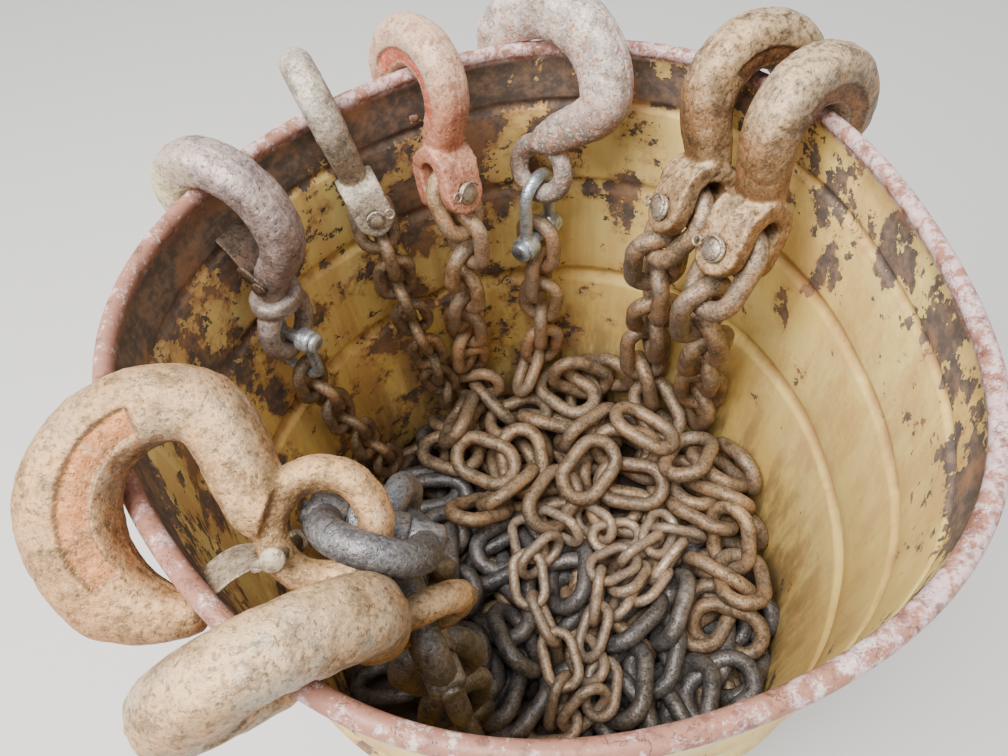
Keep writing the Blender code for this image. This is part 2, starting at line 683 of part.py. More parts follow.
def spot(x, y, z):
    return np.array([x * SPREAD, y * SPREAD, z]) / 1000.0


def hanging_links(name, kind, frame, centre, landing, tail=(), first=None):
    """From a first link that hangs on a hook straight down to `landing`, then along `tail`."""
    first = first or kind
    rows = [dict(kind=first, centre=centre, frame=frame, run=name, order=0, held=True)]
    d, p, w = CHAIN[kind]
    joint = centre + frame[:, 0] * (half_length(first) - CROWN_BITE * d / 2)
    end = spot(*landing)
    length = np.linalg.norm(end - joint)
    count = max(1, int(round(length / p)))
    way = (end - joint) / count
    side = unit(np.cross(way, frame[:, 1]))
    other = unit(np.cross(side, way))
    for k in range(count):
        x = unit(way)
        z = side if k % 2 else other
        y = np.cross(z, x)
        rows.append(dict(kind=kind, centre=joint + way * (k + 0.5), run=name, order=k + 1, held=False,
                         frame=np.stack([x, y, z], axis=1)))
    for k, (x, y, z, heading, roll) in enumerate(tail):
        rows.append(dict(kind=kind, centre=spot(x, y, z), run=name, order=count + 1 + k,
                         frame=link_frame(heading, 0, roll), held=False))
    return rows


def chain_solid(name, rows, colour):
    whole = None
    for l in rows:
        one = link_solid("one", link_path(l["kind"]), l["frame"], l["centre"], CHAIN[l["kind"]][0])
        if l["kind"] == "coupling":
            reach = l["frame"][:, 1] * (CHAIN["coupling"][2] / 2 + 0.005)
            stud = rod("stud", l["centre"] - reach, l["centre"] + reach, STUD_RADIUS, 8)
            combine(one, stud, "UNION")
        if whole is None:
            whole = one
            whole.name = name
        else:
            combine(whole, one, "UNION")
    return paint(whole, colour, 0.6, 0.7)


# Build
start_clean()
drum()
core()
down = np.array([0, 0, -1.0])
rows = heap_links()

# Clevis hooks with their pins and chains
CLEVIS = {
    "d": ("hang13", (0.38, 0.35, 0.31), (-130, 222, 420), (), 0.0),
    "e": ("hang16", (0.40, 0.16, 0.12), (-105, 262, 440), ((-85, 235, 432, 10, 75),), 0.0),
    "g": ("hang20", (0.30, 0.22, 0.16), (148, 245, 430), (), -0.3),
    "h": ("hang20", (0.30, 0.21, 0.14), (215, 205, 420), (), 1.2),
}
for key, (kind, colour, land, tail, lay) in CLEVIS.items():
    wire = CHAIN[kind][0]
    hook, pin, at, axis, pin_r = clevis_hook(key, wire, colour)
    frame, centre = hung(at, axis, down + frames[key] @ END * lay, pin_r + CROWN * wire + GAP, kind)
    rows += hanging_links("chain_" + key, kind, frame, centre, land, tail)

# Eye hook at the back with a bow shackle round its eye, the chain on the shackle's pin
EYE_F = (0.0260, 0.0110)
hook, m, o, eye = eye_hook("f", *EYE_F, (0.36, 0.32, 0.29))
at, axis = hanging_place(m, o, eye, EYE_F[0])
side = unit(np.cross(axis, down))
hang = np.cross(side, axis)
ear, pin_r = shackle("shackle_f", at - hang * (EYE_F[1] + 0.0065 + 0.0010), hang, side,
                     0.013, 0.030, 0.078, (0.45, 0.47, 0.48))
frame, centre = hung(ear, side, down, pin_r + CROWN * 0.016 + GAP, "hang16")
rows += hanging_links("chain_f", "hang16", frame, centre, (4, 258, 436), ((-20, 240, 432, -130, 66),))

# Swivel hook on the left with its bail; the shackle hangs by its pin, the chain in the shackle's bow
hook, m, o = hook_body("c")
paint(hook, (0.22, 0.17, 0.15), 0.6, 0.6)
root = np.array([0, 0, -HOOKS["c"]["shank"]])
BAIL = (0.0250, 0.0090)
BAIL_AT = root + END * 0.046
bail = rod("bail_c", m @ (root + END * GAP) + o, m @ (root + END * 0.020) + o, 0.0260, 12, 0.0220)
combine(bail, ring_solid("ring", m, o, BAIL_AT, *BAIL, ACROSS, 1.2), "UNION")
paint(bail, (0.22, 0.17, 0.15), 0.6, 0.6)
side = -(m @ ACROSS)
hang = unit(down - side * (down @ side))
BOW_C = dict(wire=0.011, inner=0.026, length=0.062)
low = m @ (BAIL_AT + END * BAIL[0] * 1.2) + o
ear = low - hang * (BAIL[1] + BOW_C["wire"] * 0.56 + 0.0006)
shackle("shackle_c", ear + hang * BOW_C["length"], -hang, side, BOW_C["wire"], BOW_C["inner"],
        BOW_C["length"], (0.45, 0.47, 0.48))
frame, centre = hung(ear + hang * BOW_C["length"], side, down,
                     BOW_C["wire"] / 2 + CROWN * 0.013 + GAP, "hang13")
rows += hanging_links("chain_c", "hang13", frame, centre, (-199, 130, 390), ())

# Two big eye hooks at the front left, each with a coupling and dark chain
EYE_AB = (0.0300, 0.0115)
BIG = {
    "a": ((-129, -39, 385), END, (-0.15, 1.4, -1.0)),
    "b": ((-87, -200, 385), None, (0, 0, -1.0)),
}
for key, (land, side_of_eye, way) in BIG.items():
    hook, m, o, eye = eye_hook(key, *EYE_AB, (0.30, 0.23, 0.18))
    at, axis = hanging_place(m, o, eye, EYE_AB[0], side_of_eye)
    frame, centre = hung(at, axis, way, EYE_AB[1] + CROWN * CHAIN["coupling"][0] + CLEAR, "coupling")
    rows += hanging_links("chain_" + key, "dark", frame, centre, land, (), "coupling")

worst = settle(rows)
print("worst bite mm", round((worst - CLEAR) * 1000, 3), "links", len(rows))
names = []
for l in rows:
    if l["run"] not in names:
        names.append(l["run"])
for name in names:
    part = [l for l in rows if l["run"] == name]
    chain_solid(name, part, RUST.get(part[0]["kind"], (0.28, 0.20, 0.14)))


# Let each run of the heap down until it all but touches what it lies on
def tree(ob, shift=(0.0, 0.0, 0.0)):
    me = ob.data
    me.calc_loop_triangles()
    return BVHTree.FromPolygons([v.co + Vector(shift) for v in me.vertices],
                                [t.vertices[:] for t in me.loop_triangles])


def reach_of(ob):
    co = np.array([v.co[:] for v in ob.data.vertices])
    return co.min(0), co.max(0)


def blocked(ob, dz, others):
    """Whether the body, moved by dz, comes within the gap of another one."""
    there = tree(ob, (0, 0, dz - NEAR))
    return any(there.overlap(o) for o in others)


NEAR = 0.0004
STEP = 0.0004
everything = list(bpy.data.objects)
boxes = {ob.name: reach_of(ob) for ob in everything}
trees = {ob.name: tree(ob) for ob in everything}
loose = sorted((ob for ob in everything if ob.name in HEAP), key=lambda ob: boxes[ob.name][0][2])
for ob in loose + loose:
    lo, hi = boxes[ob.name]
    near = [trees[n] for n in trees if n != ob.name
            and np.all(boxes[n][0] < hi + 0.008) and np.all(boxes[n][1] > lo - 0.04)]
    drop = 0.0
    while drop > -0.0012 and blocked(ob, -drop, near):
        drop -= STEP
    while drop < 0.030 and not blocked(ob, -drop - STEP, near):
        drop += STEP
    for v in ob.data.vertices:
        v.co.z -= drop
    trees[ob.name] = tree(ob)
    boxes[ob.name] = reach_of(ob)

total = 0
for ob in bpy.data.objects:
    ob.data.calc_loop_triangles()
    total += len(ob.data.loop_triangles)
print("triangles", total, "objects", len(bpy.data.objects))
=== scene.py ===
"""A heap of loose lifting chain in an open steel drum, with eight sling hooks hung over the drum's rim."""
import math

import bmesh
import bpy
import numpy as np
from mathutils import Matrix, Vector, noise


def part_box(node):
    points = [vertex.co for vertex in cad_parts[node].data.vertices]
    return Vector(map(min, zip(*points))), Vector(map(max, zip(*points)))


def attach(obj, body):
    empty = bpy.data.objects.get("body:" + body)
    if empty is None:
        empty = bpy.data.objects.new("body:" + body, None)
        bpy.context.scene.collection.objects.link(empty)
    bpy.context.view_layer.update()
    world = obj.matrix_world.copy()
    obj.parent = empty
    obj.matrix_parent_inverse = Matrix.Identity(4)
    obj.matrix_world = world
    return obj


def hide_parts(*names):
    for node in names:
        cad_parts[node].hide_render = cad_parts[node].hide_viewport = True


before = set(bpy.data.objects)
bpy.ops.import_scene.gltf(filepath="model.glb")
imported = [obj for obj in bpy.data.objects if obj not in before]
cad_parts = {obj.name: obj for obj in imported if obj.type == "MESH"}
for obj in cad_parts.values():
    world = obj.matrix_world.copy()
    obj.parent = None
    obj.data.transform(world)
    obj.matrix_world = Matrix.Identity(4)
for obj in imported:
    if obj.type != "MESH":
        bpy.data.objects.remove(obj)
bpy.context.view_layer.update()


# Drum
# A 200 litre open-head drum of rolled steel sheet, painted khaki, with two beads and two hoops rolled into
# its wall and the sheet's edge curled over at the mouth. The mouth has been knocked out of round.
DRUM_LOW, DRUM_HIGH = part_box("drum_shell")
CURL_RADIUS = 0.0065
RIM_HEIGHT = DRUM_HIGH[2] - CURL_RADIUS
RIM_RADIUS = 0.2886
WALL_INNER = 0.2838
WALL_THICKNESS = 0.0015
FLOOR_TOP = 0.0120
BENT_DEPTH = 0.600
DRUM_SIDES = 288
BEADS = ((0.825, 0.008, 0.003), (0.725, 0.012, 0.004), (0.585, 0.016, 0.007), (0.295, 0.016, 0.007))
DENT_DEPTH = 0.0028


def unit(v):
    v = np.asarray(v, float)
    return v / np.linalg.norm(v)


def turn(axis, degrees):
    a = unit(axis)
    k = np.array([[0, -a[2], a[1]], [a[2], 0, -a[0]], [-a[1], a[0], 0]])
    t = math.radians(degrees)
    return np.eye(3) + math.sin(t) * k + (1 - math.cos(t)) * k @ k


def smooth(edge0, edge1, x):
    t = np.clip((x - edge0) / (edge1 - edge0), 0, 1)
    return t * t * (3 - 2 * t)


def out_of_round(theta, z):
    """How far the wall has been knocked out at that angle and height."""
    k = smooth(RIM_HEIGHT - BENT_DEPTH, RIM_HEIGHT, z)
    d = (0.5 * np.cos(2 * theta) + 1.6 * np.sin(2 * theta) - 7.3 * np.cos(3 * theta)
         - 1.5 * np.sin(3 * theta) + 0.6 * np.cos(4 * theta) - 3.0 * np.sin(4 * theta)
         - 2.5 * np.cos(5 * theta) - 1.0 * np.sin(5 * theta))
    return k * d / 1000


def bead(z):
    out = 0.0
    for centre, half, height in BEADS:
        s = abs(z - centre) / half
        if s < 1:
            out += height * 0.5 * (1 + math.cos(math.pi * s))
    return out


def new_object(name, data):
    ob = bpy.data.objects.new(name, data)
    bpy.context.scene.collection.objects.link(ob)
    return ob


def add_mesh(name, verts, faces):
    me = bpy.data.meshes.new(name)
    me.from_pydata([tuple(v) for v in verts], [], faces)
    me.validate()
    me.shade_smooth()
    return new_object(name, me)


def drum_profile():
    """Radius and height up the outside, round the curl and down the inside."""
    heights = [0.0, 0.002, 0.006, 0.012, 0.016]
    heights += list(np.linspace(0.03, 0.262, 8))
    for centre, half, _ in sorted(BEADS):
        heights += list(centre + half * np.linspace(-1, 1, 13))
        heights += list(np.linspace(centre + half, centre + half + 0.08, 5)[1:-1])
    heights = sorted(h for h in set(np.round(heights, 5)) if h < RIM_HEIGHT - 0.008)
    chime = {0.0: -0.0015, 0.002: 0.001, 0.006: 0.0025, 0.012: 0.0015, 0.016: 0.0}
    outside = [(WALL_INNER + WALL_THICKNESS + bead(h) + chime.get(h, 0.0), h) for h in heights]
    curl = []
    for deg in np.arange(-50, 231, 14):
        t = math.radians(deg)
        curl.append((RIM_RADIUS + CURL_RADIUS * math.cos(t), RIM_HEIGHT + CURL_RADIUS * math.sin(t)))
    inside = [(WALL_INNER + bead(h), h) for h in heights[::-1] if h > FLOOR_TOP]
    inside.append((WALL_INNER, FLOOR_TOP))
    return outside + curl + inside


def roll_drum():
    profile = drum_profile()
    verts = []
    for r, z in profile:
        fade = float(smooth(RIM_HEIGHT - 0.005, RIM_HEIGHT - 0.06, z)) * float(smooth(0.01, 0.12, z))
        for k in range(DRUM_SIDES):
            t = 2 * math.pi * k / DRUM_SIDES
            dent = abs(noise.noise(Vector((math.cos(t) * 2.2, math.sin(t) * 2.2, z * 5.0)))) * DENT_DEPTH
            rr = r + float(out_of_round(t, z)) + dent * fade
            verts.append((rr * math.cos(t), rr * math.sin(t), z))
    faces = []
    n = DRUM_SIDES
    for i in range(len(profile) - 1):
        for k in range(n):
            q = (k + 1) % n
            faces.append((i * n + k, i * n + q, (i + 1) * n + q, (i + 1) * n + k))
    faces.append(tuple(range(n))[::-1])
    last = (len(profile) - 1) * n
    faces.append(tuple(last + k for k in range(n)))
    return add_mesh("drum", verts, faces)


def node(tree, kind, inputs=(), **settings):
    """One shader or geometry node; an input is a number, a colour, a Value or another node's output."""
    made = tree.nodes.new(kind)
    for key, value in settings.items():
        setattr(made, key, value)
    for key, value in dict(inputs).items():
        value = getattr(value, "socket", value)
        if isinstance(value, bpy.types.NodeSocket):
            tree.links.new(value, made.inputs[key])
        else:
            made.inputs[key].default_value = value
    return made


class Value:
    """A number that nodes work out, so that patterns are added and multiplied like plain numbers."""

    def __init__(self, socket):
        self.socket = socket
        self.tree = socket.id_data

    def maths(self, how, a, b=0.0):
        return Value(node(self.tree, "ShaderNodeMath", {0: a, 1: b}, operation=how).outputs[0])

    def __add__(self, other):
        return self.maths("ADD", self, other)

    def __sub__(self, other):
        return self.maths("SUBTRACT", self, other)

    def __rsub__(self, other):
        return self.maths("SUBTRACT", other, self)

    def __mul__(self, other):
        return self.maths("MULTIPLY", self, other)

    def __abs__(self):
        return self.maths("ABSOLUTE", self)

    def or_more(self, other):
        return self.maths("MAXIMUM", self, other)

    def capped(self):
        """Kept between 0 and 1."""
        self.socket.node.use_clamp = True
        return self

    def step(self, low, high):
        """0 below low and 1 above high, with a soft step between; high may be the lower one."""
        made = node(self.tree, "ShaderNodeMapRange", {"Value": self, "From Min": low, "From Max": high},
                    interpolation_type="SMOOTHSTEP")
        return Value(made.outputs[0])


def rgb(red, green, blue):
    """A colour given as the 0 to 255 values that a screen shows."""
    values = np.array([red, green, blue]) / 255
    linear = np.where(values > 0.04045, ((values + 0.055) / 1.055) ** 2.4, values / 12.92)
    return (*(float(v) for v in linear), 1.0)


def times(colour, share):
    """The same colour darker or paler."""
    return (*(min(1.0, c * share) for c in colour[:3]), 1.0)


class Finish:
    """A material in the making: the object's own coordinates, and the colours laid on so far."""

    def __init__(self, name, colour):
        self.material = bpy.data.materials.new(name)
        self.material.use_nodes = True
        self.tree = self.material.node_tree
        self.where = node(self.tree, "ShaderNodeTexCoord").outputs["Object"]
        self.colour = colour

    def split(self, vector):
        return [Value(s) for s in node(self.tree, "ShaderNodeSeparateXYZ", {0: vector}).outputs]

    def mottle(self, scale, detail, rough, stretch=None, shift=(0, 0, 0)):
        """A noise pattern on the coordinates, in features per metre."""
        where = self.where
        if stretch or any(shift):
            where = node(self.tree, "ShaderNodeMapping", {"Vector": where, "Scale": stretch or (1, 1, 1),
                                                          "Location": shift}).outputs[0]
        made = node(self.tree, "ShaderNodeTexNoise",
                    {"Vector": where, "Scale": scale, "Detail": detail, "Roughness": rough})
        return Value(made.outputs[0])

    def fact(self, label):
        """What the mesh says at each point under that name."""
        return Value(node(self.tree, "ShaderNodeAttribute", attribute_name=label).outputs["Fac"])

    def mix(self, under, over, share):
        return node(self.tree, "ShaderNodeMix", {0: share, 6: under, 7: over}, data_type="RGBA").outputs[2]

    def lay(self, colour, share):
        """Lays a colour over those before it, by share."""
        self.colour = self.mix(self.colour, colour, share)

    def done(self, roughness, metallic, height, depth, strength):
        bump = node(self.tree, "ShaderNodeBump", {"Height": height, "Distance": depth, "Strength": strength})
        shader = self.tree.nodes["Principled BSDF"]
        shader.inputs["Metallic"].default_value = metallic
        for label, socket in (("Base Color", self.colour), ("Roughness", roughness.socket),
                              ("Normal", bump.outputs[0])):
            self.tree.links.new(socket, shader.inputs[label])
        return self.material


KHAKI = rgb(236, 202, 114)
KHAKI_PALE = rgb(248, 224, 142)
OCHRE = rgb(212, 166, 104)
RUST_BROWN = rgb(172, 122, 82)
BARE_BROWN = rgb(90, 80, 74)
CURL_LILAC = rgb(206, 178, 178)


def drum_finish():
    """Khaki paint that is nearly gone in the band under the rim at the back left, and rust runs below it."""
    paint = Finish("drum_paint", KHAKI)
    x, y, z = paint.split(paint.where)
    speck = paint.mottle(90.0, 5, 0.7)
    cloud = paint.mottle(9.0, 5, 0.7)
    paint.lay(KHAKI_PALE, paint.mottle(5.0, 5, 0.6).step(0.35, 0.65))
    # 1 at the back and on the left, 0 on the clean right side
    worn_side = (y * 0.35 - x).step(-0.12, 0.20)
    back_left = (y * 0.8 - x).step(-0.12, 0.16)
    runs_down = paint.mottle(34.0, 5, 0.62, (1, 1, 0.05)).step(0.40, 0.68) * (worn_side * 0.7 + 0.2)
    clouds = cloud.step(0.42, 0.66) * z.step(0.58, 0.84) * worn_side
    stain = (runs_down + clouds * 0.9).capped()
    paint.lay(OCHRE, stain * 0.85)
    paint.lay(RUST_BROWN, paint.mottle(22.0, 5, 0.7).step(0.54, 0.70) * (stain * 0.6 + 0.12))
    # Blushes of rust anywhere, and smeared dirt and rust where the chain rubs the wall
    paint.lay(OCHRE, paint.mottle(13.0, 5, 0.75, (1, 1, 0.35)).step(0.48, 0.64) * 0.6)
    rubbed = z.step(0.60, 0.40) * paint.mottle(30.0, 5, 0.7, (1, 1, 0.18)).step(0.40, 0.60)
    paint.lay(rgb(156, 122, 84), rubbed * 0.8)
    # Rusty lines along the beads and the upper hoop
    for centre, _, _ in BEADS[:3]:
        line = abs(z - centre).step(0.013, 0.003) * cloud.step(0.40, 0.60)
        paint.lay(RUST_BROWN, line * 0.65)
    # Bare patches with a rusty rim: thick between the rim and the first bead, thinner below it
    want = worn_side * 0.085 + z.step(0.812, 0.842) * (back_left * 0.10 + 0.035)
    want += z.step(0.60, 0.80) * 0.035
    want += x.step(0.16, 0.26) * z.step(0.70, 0.84) * 0.045
    edge = 0.636 - want
    over = paint.mottle(17.0, 7, 0.66, (1, 1, 0.85)) - edge
    chips = paint.mottle(46.0, 5, 0.7) - (edge + 0.05)
    halo = over.step(-0.075, 0.0) * (worn_side * 0.6 + 0.25)
    paint.lay(RUST_BROWN, halo * speck.step(0.35, 0.55))
    bare = over.step(0.0, 0.012).or_more(chips.step(0.0, 0.012))
    tone = paint.mix(BARE_BROWN, rgb(136, 110, 90), speck.step(0.4, 0.65))
    tone = paint.mix(tone, rgb(166, 120, 84), cloud.step(0.50, 0.62) * 0.7)
    paint.lay(tone, bare)
    # The curl, with more rust at the front and on the left
    curl_rust = paint.mottle(80.0, 5, 0.75) + (x + y * 0.8).step(0.05, -0.25) * 0.12
    tone = paint.mix(CURL_LILAC, rgb(158, 110, 92), curl_rust.step(0.44, 0.58))
    tone = paint.mix(tone, rgb(116, 76, 64), speck.step(0.52, 0.64) * 0.8)
    tone = paint.mix(tone, rgb(232, 222, 216), speck.step(0.42, 0.34) * 0.6)
    paint.lay(tone, z.step(RIM_HEIGHT - CURL_RADIUS * 1.5, RIM_HEIGHT - CURL_RADIUS * 0.6))
    return paint.done(bare * 0.35 + 0.42, 0.0, speck * 0.6 - bare, 0.0014, 0.8)


drum = roll_drum()
drum.data.materials.append(drum_finish())
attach(drum, "root")
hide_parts("drum_shell")


# Chain
# Welded steel lifting chain: each link is a round bar bent to an oval and welded in the middle of one side.
# The sizes are wire, pitch and outside width. Most is rusty, and the heavy chain at the front is still dark.
CHAIN = {
    "large": (0.0180, 0.062, 0.067),
    "small": (0.0125, 0.048, 0.047),
    "dark": (0.0200, 0.064, 0.072),
    "hang13": (0.0130, 0.040, 0.045),
    "hang16": (0.0160, 0.048, 0.055),
    "hang20": (0.0190, 0.059, 0.064),
    "coupling": (0.0210, 0.078, 0.080),
}
CROWN_BITE = 0.76
SWELL = 1.10
CROWN = SWELL * math.cos(math.pi / 6) / 2
CLEAR = 0.0006
GAP = 0.0003


def half_length(kind):
    wire, pitch, _ = CHAIN[kind]
    return (pitch + CROWN_BITE * wire) / 2


def link_path(kind):
    """The centre line of one link in eight points, which the settling works with."""
    d, p, w = CHAIN[kind]
    r = (w - d) / 2
    bend = r * 1.06
    a = half_length(kind) - bend * math.cos(math.pi / 6)
    pts = []
    for side in (1, -1):
        pts.append((side * a, -side * r, 0))
        for deg in (-30, 30):
            t = math.radians(deg)
            pts.append((side * (a + bend * math.cos(t)), side * bend * math.sin(t), 0))
        pts.append((side * a, side * r, 0))
    return np.array(pts)


def link_frame(heading, slope, roll):
    return turn([0, 0, 1], heading) @ turn([0, 1, 0], -slope) @ turn([1, 0, 0], roll)


def leg(name, kind, at, axis, down, reach, landing, tail=(), first=None):
    """From a link whose crown goes round a wire or pin at `at` straight to `landing`, then along `tail`."""
    first = first or kind
    ax = unit(axis)
    d = np.asarray(down, float)
    d = unit(d - ax * (d @ ax))
    place = np.stack([d, np.cross(ax, d), ax], axis=1)
    centre = at - d * reach + d * half_length(first)
    rows = [dict(kind=first, centre=centre, frame=place, run=name, order=0, held=True)]
    wire, pitch, _ = CHAIN[kind]
    joint = centre + d * (half_length(first) - CROWN_BITE * wire / 2)
    end = np.array(landing, float) / 1000
    count = max(1, int(round(np.linalg.norm(end - joint) / pitch)))
    way = (end - joint) / count
    side = unit(np.cross(way, place[:, 1]))
    other = unit(np.cross(side, way))
    for k in range(count):
        x = unit(way)
        z = side if k % 2 else other
        rows.append(dict(kind=kind, centre=joint + way * (k + 0.5), run=name, order=k + 1, held=False,
                         frame=np.stack([x, np.cross(z, x), z], axis=1)))
    for k, (x, y, z, heading, roll) in enumerate(tail):
        rows.append(dict(kind=kind, centre=np.array([x, y, z]) / 1000.0, run=name, order=count + 1 + k,
                         frame=link_frame(heading, 0, roll), held=False))
    return rows


# Hooks
# Drop-forged steel sling hooks, each one forging from the point round the bowl to the eye or clevis. Each
# hangs by its bowl on the curled rim, turned and leaning as the weight of its chain pulls it.
BOWL = dict(bowl=0.0370, deep=0.0560, wide=0.0430, shank=0.0507, flare=0.010, back=0.75, neck=0.66, tip=-8)
CAST = dict(bowl=0.0245, deep=0.0470, wide=0.0460, shank=0.0735, tip=-10, recess=(30, 178))
HOOKS = {
    "a": dict(BOWL, at=216.1, yaw=-31.4, lean=55.3, swing=82.0, touch=76.3, shift=(0.0035, 0.0141),
              recess=(36, 158)),
    "b": dict(BOWL, at=240.3, yaw=-33.6, lean=-10.5, swing=56.4, touch=123.0, shift=(-0.0008, 0.0009),
              recess=(36, 158)),
    "c": dict(at=156.2, yaw=-1.1, lean=2.8, swing=13.6, bowl=0.0346, deep=0.0356, wide=0.0378,
              shank=0.0798, touch=75.7, back=0.95, neck=0.80, shift=(-0.0021, 0.0011)),
    "d": dict(at=131.3, yaw=-15.8, lean=-9.0, swing=33.8, bowl=0.0241, deep=0.0317, wide=0.0291,
              shank=0.0690, touch=142.3, neck=0.78, shift=(0.0073, 0.0069)),
    "e": dict(at=112.6, yaw=20.5, lean=11.6, swing=37.3, bowl=0.0214, deep=0.0429, wide=0.0374,
              shank=0.0622, touch=96.6, shift=(0.0033, -0.0012), recess=(50, 240)),
    "f": dict(at=86.9, yaw=58.3, lean=15.9, swing=10.0, bowl=0.0414, deep=0.0507, wide=0.0444,
              shank=0.0559, touch=100.8, back=0.88, neck=0.62, tip=0, shift=(-0.0058, 0.0029)),
    "g": dict(CAST, at=49.1, yaw=-26.8, lean=-20.1, swing=42.0, touch=77.3, shift=(0.0051, -0.0019)),
    "h": dict(CAST, at=38.4, yaw=-2.7, lean=-11.6, swing=47.4, touch=93.4, shift=(-0.0013, 0.0013)),
}
POINT_SHARE = 0.42
END = unit([0.25, 0, -1.0])
ACROSS = unit([1.0, 0, 0.25])
FLAT = np.array([0, 1.0, 0])


def hook_frame(h):
    t = math.radians(h["at"])
    r = RIM_RADIUS + float(out_of_round(t, RIM_HEIGHT))
    rim = np.array([r * math.cos(t), r * math.sin(t), RIM_HEIGHT])
    m = turn([0, 0, 1], h["at"] + h["yaw"]) @ turn([1, 0, 0], h["lean"]) @ turn([0, 1, 0], h["swing"])
    a = math.radians(h["touch"])
    rest = np.array([math.cos(a), 0, math.sin(a)]) * (h["bowl"] - CURL_RADIUS - GAP)
    out, lift = h.get("shift", (0, 0))
    shift = np.array([out * math.cos(t), out * math.sin(t), lift])
    return m, rim + shift - m @ rest


def hook_line(h, arc=44, straight=18):
    """Stations from the point round the bowl and down the shank: middle, heading, depth, width."""
    tip, back, neck = h.get("tip", -35), h.get("back", 0.92), h.get("neck", 0.74)
    out = []
    for k in range(arc):
        t = k / (arc - 1)
        deg = tip + (180 - tip) * t
        a = math.radians(deg)
        deep = h["deep"] * np.interp(deg, [tip, 35, 90, 180], [POINT_SHARE, 0.88, 1.0, back])
        wide = h["wide"] * (0.6 + 0.4 * min(t / 0.4, 1))
        opened = h.get("flare", 0.0) * max(0.0, (70 - deg) / 70) ** 1.6
        out.append((np.array([math.cos(a), math.sin(a)]) * (h["bowl"] + opened + deep / 2),
                    np.array([-math.sin(a), math.cos(a)]), deep, wide))
    p0, d0 = out[-1][0], np.array([0.0, -1.0])
    p3, d3 = np.array([0.0, -h["shank"]]), unit([0.25, -1.0])
    p1, p2 = p0 + d0 * h["shank"] * 0.5, p3 - d3 * h["shank"] * 0.35
    for k in range(1, straight + 1):
        t = k / straight
        c = (1 - t) ** 3 * p0 + 3 * (1 - t) ** 2 * t * p1 + 3 * (1 - t) * t * t * p2 + t ** 3 * p3
        d = unit(3 * (1 - t) ** 2 * (p1 - p0) + 6 * (1 - t) * t * (p2 - p1) + 3 * t * t * (p3 - p2))
        out.append((c, d, h["deep"] * (back + (neck - back) * t), h["wide"] * (1 - 0.15 * t)))
    return out


def skin(bm, rings, closed=False):
    """Joins rings of points into a closed tube, or into a ring of tube."""
    rows = [[bm.verts.new(tuple(q)) for q in r] for r in rings]
    n = len(rows[0])
    for i in range(len(rows) if closed else len(rows) - 1):
        a, b = rows[i], rows[(i + 1) % len(rows)]
        for k in range(n):
            bm.faces.new((a[k], a[(k + 1) % n], b[(k + 1) % n], b[k]))
    if not closed:
        bm.faces.new(rows[0][::-1])
        bm.faces.new(rows[-1])


def section(c, side, up, half_deep, half_wide, count=28, square=0.78):
    """A rounded rectangle of points about c."""
    ring = []
    for s in np.arange(count) * 2 * math.pi / count:
        u, v = math.cos(s), math.sin(s)
        u = math.copysign(abs(u) ** square, u) * half_deep
        v = math.copysign(abs(v) ** square, v) * half_wide
        ring.append(np.asarray(c) + side * u + up * v)
    return ring


ANY_WAY = [0.31, 0.52, 0.79]
ROD_SIDES = 28
PLATE_STEPS = 14


def circle(centre, radius, u, w, count):
    """Points round a centre, in the plane of u and w."""
    return [centre + radius * (math.cos(t) * u + math.sin(t) * w)
            for t in np.arange(count) * 2 * math.pi / count]


def bar(bm, path, radius, count, closed=False, up=None):
    """A round bar along a path; radius is one number or one for each point, and open ends are domed."""
    path = [np.asarray(p, float) for p in path]
    n = len(path)
    radii = [radius] * n if np.isscalar(radius) else radius
    stations = []
    u = up
    for i, (p, r) in enumerate(zip(path, radii)):
        before = path[(i - 1) % n] if closed else path[max(i - 1, 0)]
        after = path[(i + 1) % n] if closed else path[min(i + 1, n - 1)]
        t = unit(after - before)
        if up is not None:
            u = up
        elif u is None:
            u = unit(np.cross(t, ANY_WAY))
        u = unit(u - t * (u @ t))
        stations.append((p, t, r, u, np.cross(t, u)))
    rings = [circle(p, r, u, w, count) for p, t, r, u, w in stations]
    if not closed:
        for at, sign in ((0, -1), (-1, 1)):
            p, t, r, u, w = stations[at]
            dome = [circle(p + sign * t * r * 0.30 * (1 - f), r * f, u, w, count) for f in (0.75, 0.35)]
            rings = rings + dome if sign > 0 else dome[::-1] + rings
    skin(bm, rings, closed)


def rod(bm, start, end, radius, edge=0.0012):
    """A turned rod with broken edges."""
    t = unit(end - start)
    u = unit(np.cross(t, ANY_WAY))
    w = np.cross(t, u)
    skin(bm, [circle(p, r, u, w, ROD_SIDES) for p, r in ((start, radius - edge), (start + t * edge, radius),
                                                         (end - t * edge, radius), (end, radius - edge))])


def plate(bm, m, o, start, stop, radius, low, high, through=FLAT, edge=0.0015):
    """A flat bar with round ends and broken edges, from low to high along the way it is seen flat from."""
    start, stop = np.array(start, float), np.array(stop, float)
    d = unit(stop - start)
    s = np.cross(through, d)
    rings = []
    for y, inset in ((low, edge), (low + edge, 0.0), (high - edge, 0.0), (high, edge)):
        outline = []
        for centre, sign in ((stop, 1), (start, -1)):
            for k in range(PLATE_STEPS):
                t = math.pi * k / (PLATE_STEPS - 1) - math.pi / 2
                outline.append(centre + (radius - inset) * sign * (math.cos(t) * d + math.sin(t) * s))
        rings.append([m @ (q + through * y) + o for q in outline])
    skin(bm, rings)


def from_bm(name, bm):
    bmesh.ops.recalc_face_normals(bm, faces=bm.faces)
    me = bpy.data.meshes.new(name)
    bm.to_mesh(me)
    bm.free()
    me.shade_smooth()
    return new_object(name, me)


def bake(ob):
    """Puts what the modifiers make of the mesh in its place."""
    made = bpy.data.meshes.new_from_object(ob.evaluated_get(bpy.context.evaluated_depsgraph_get()))
    ob.modifiers.clear()
    before = ob.data
    ob.data = made
    bpy.data.meshes.remove(before)


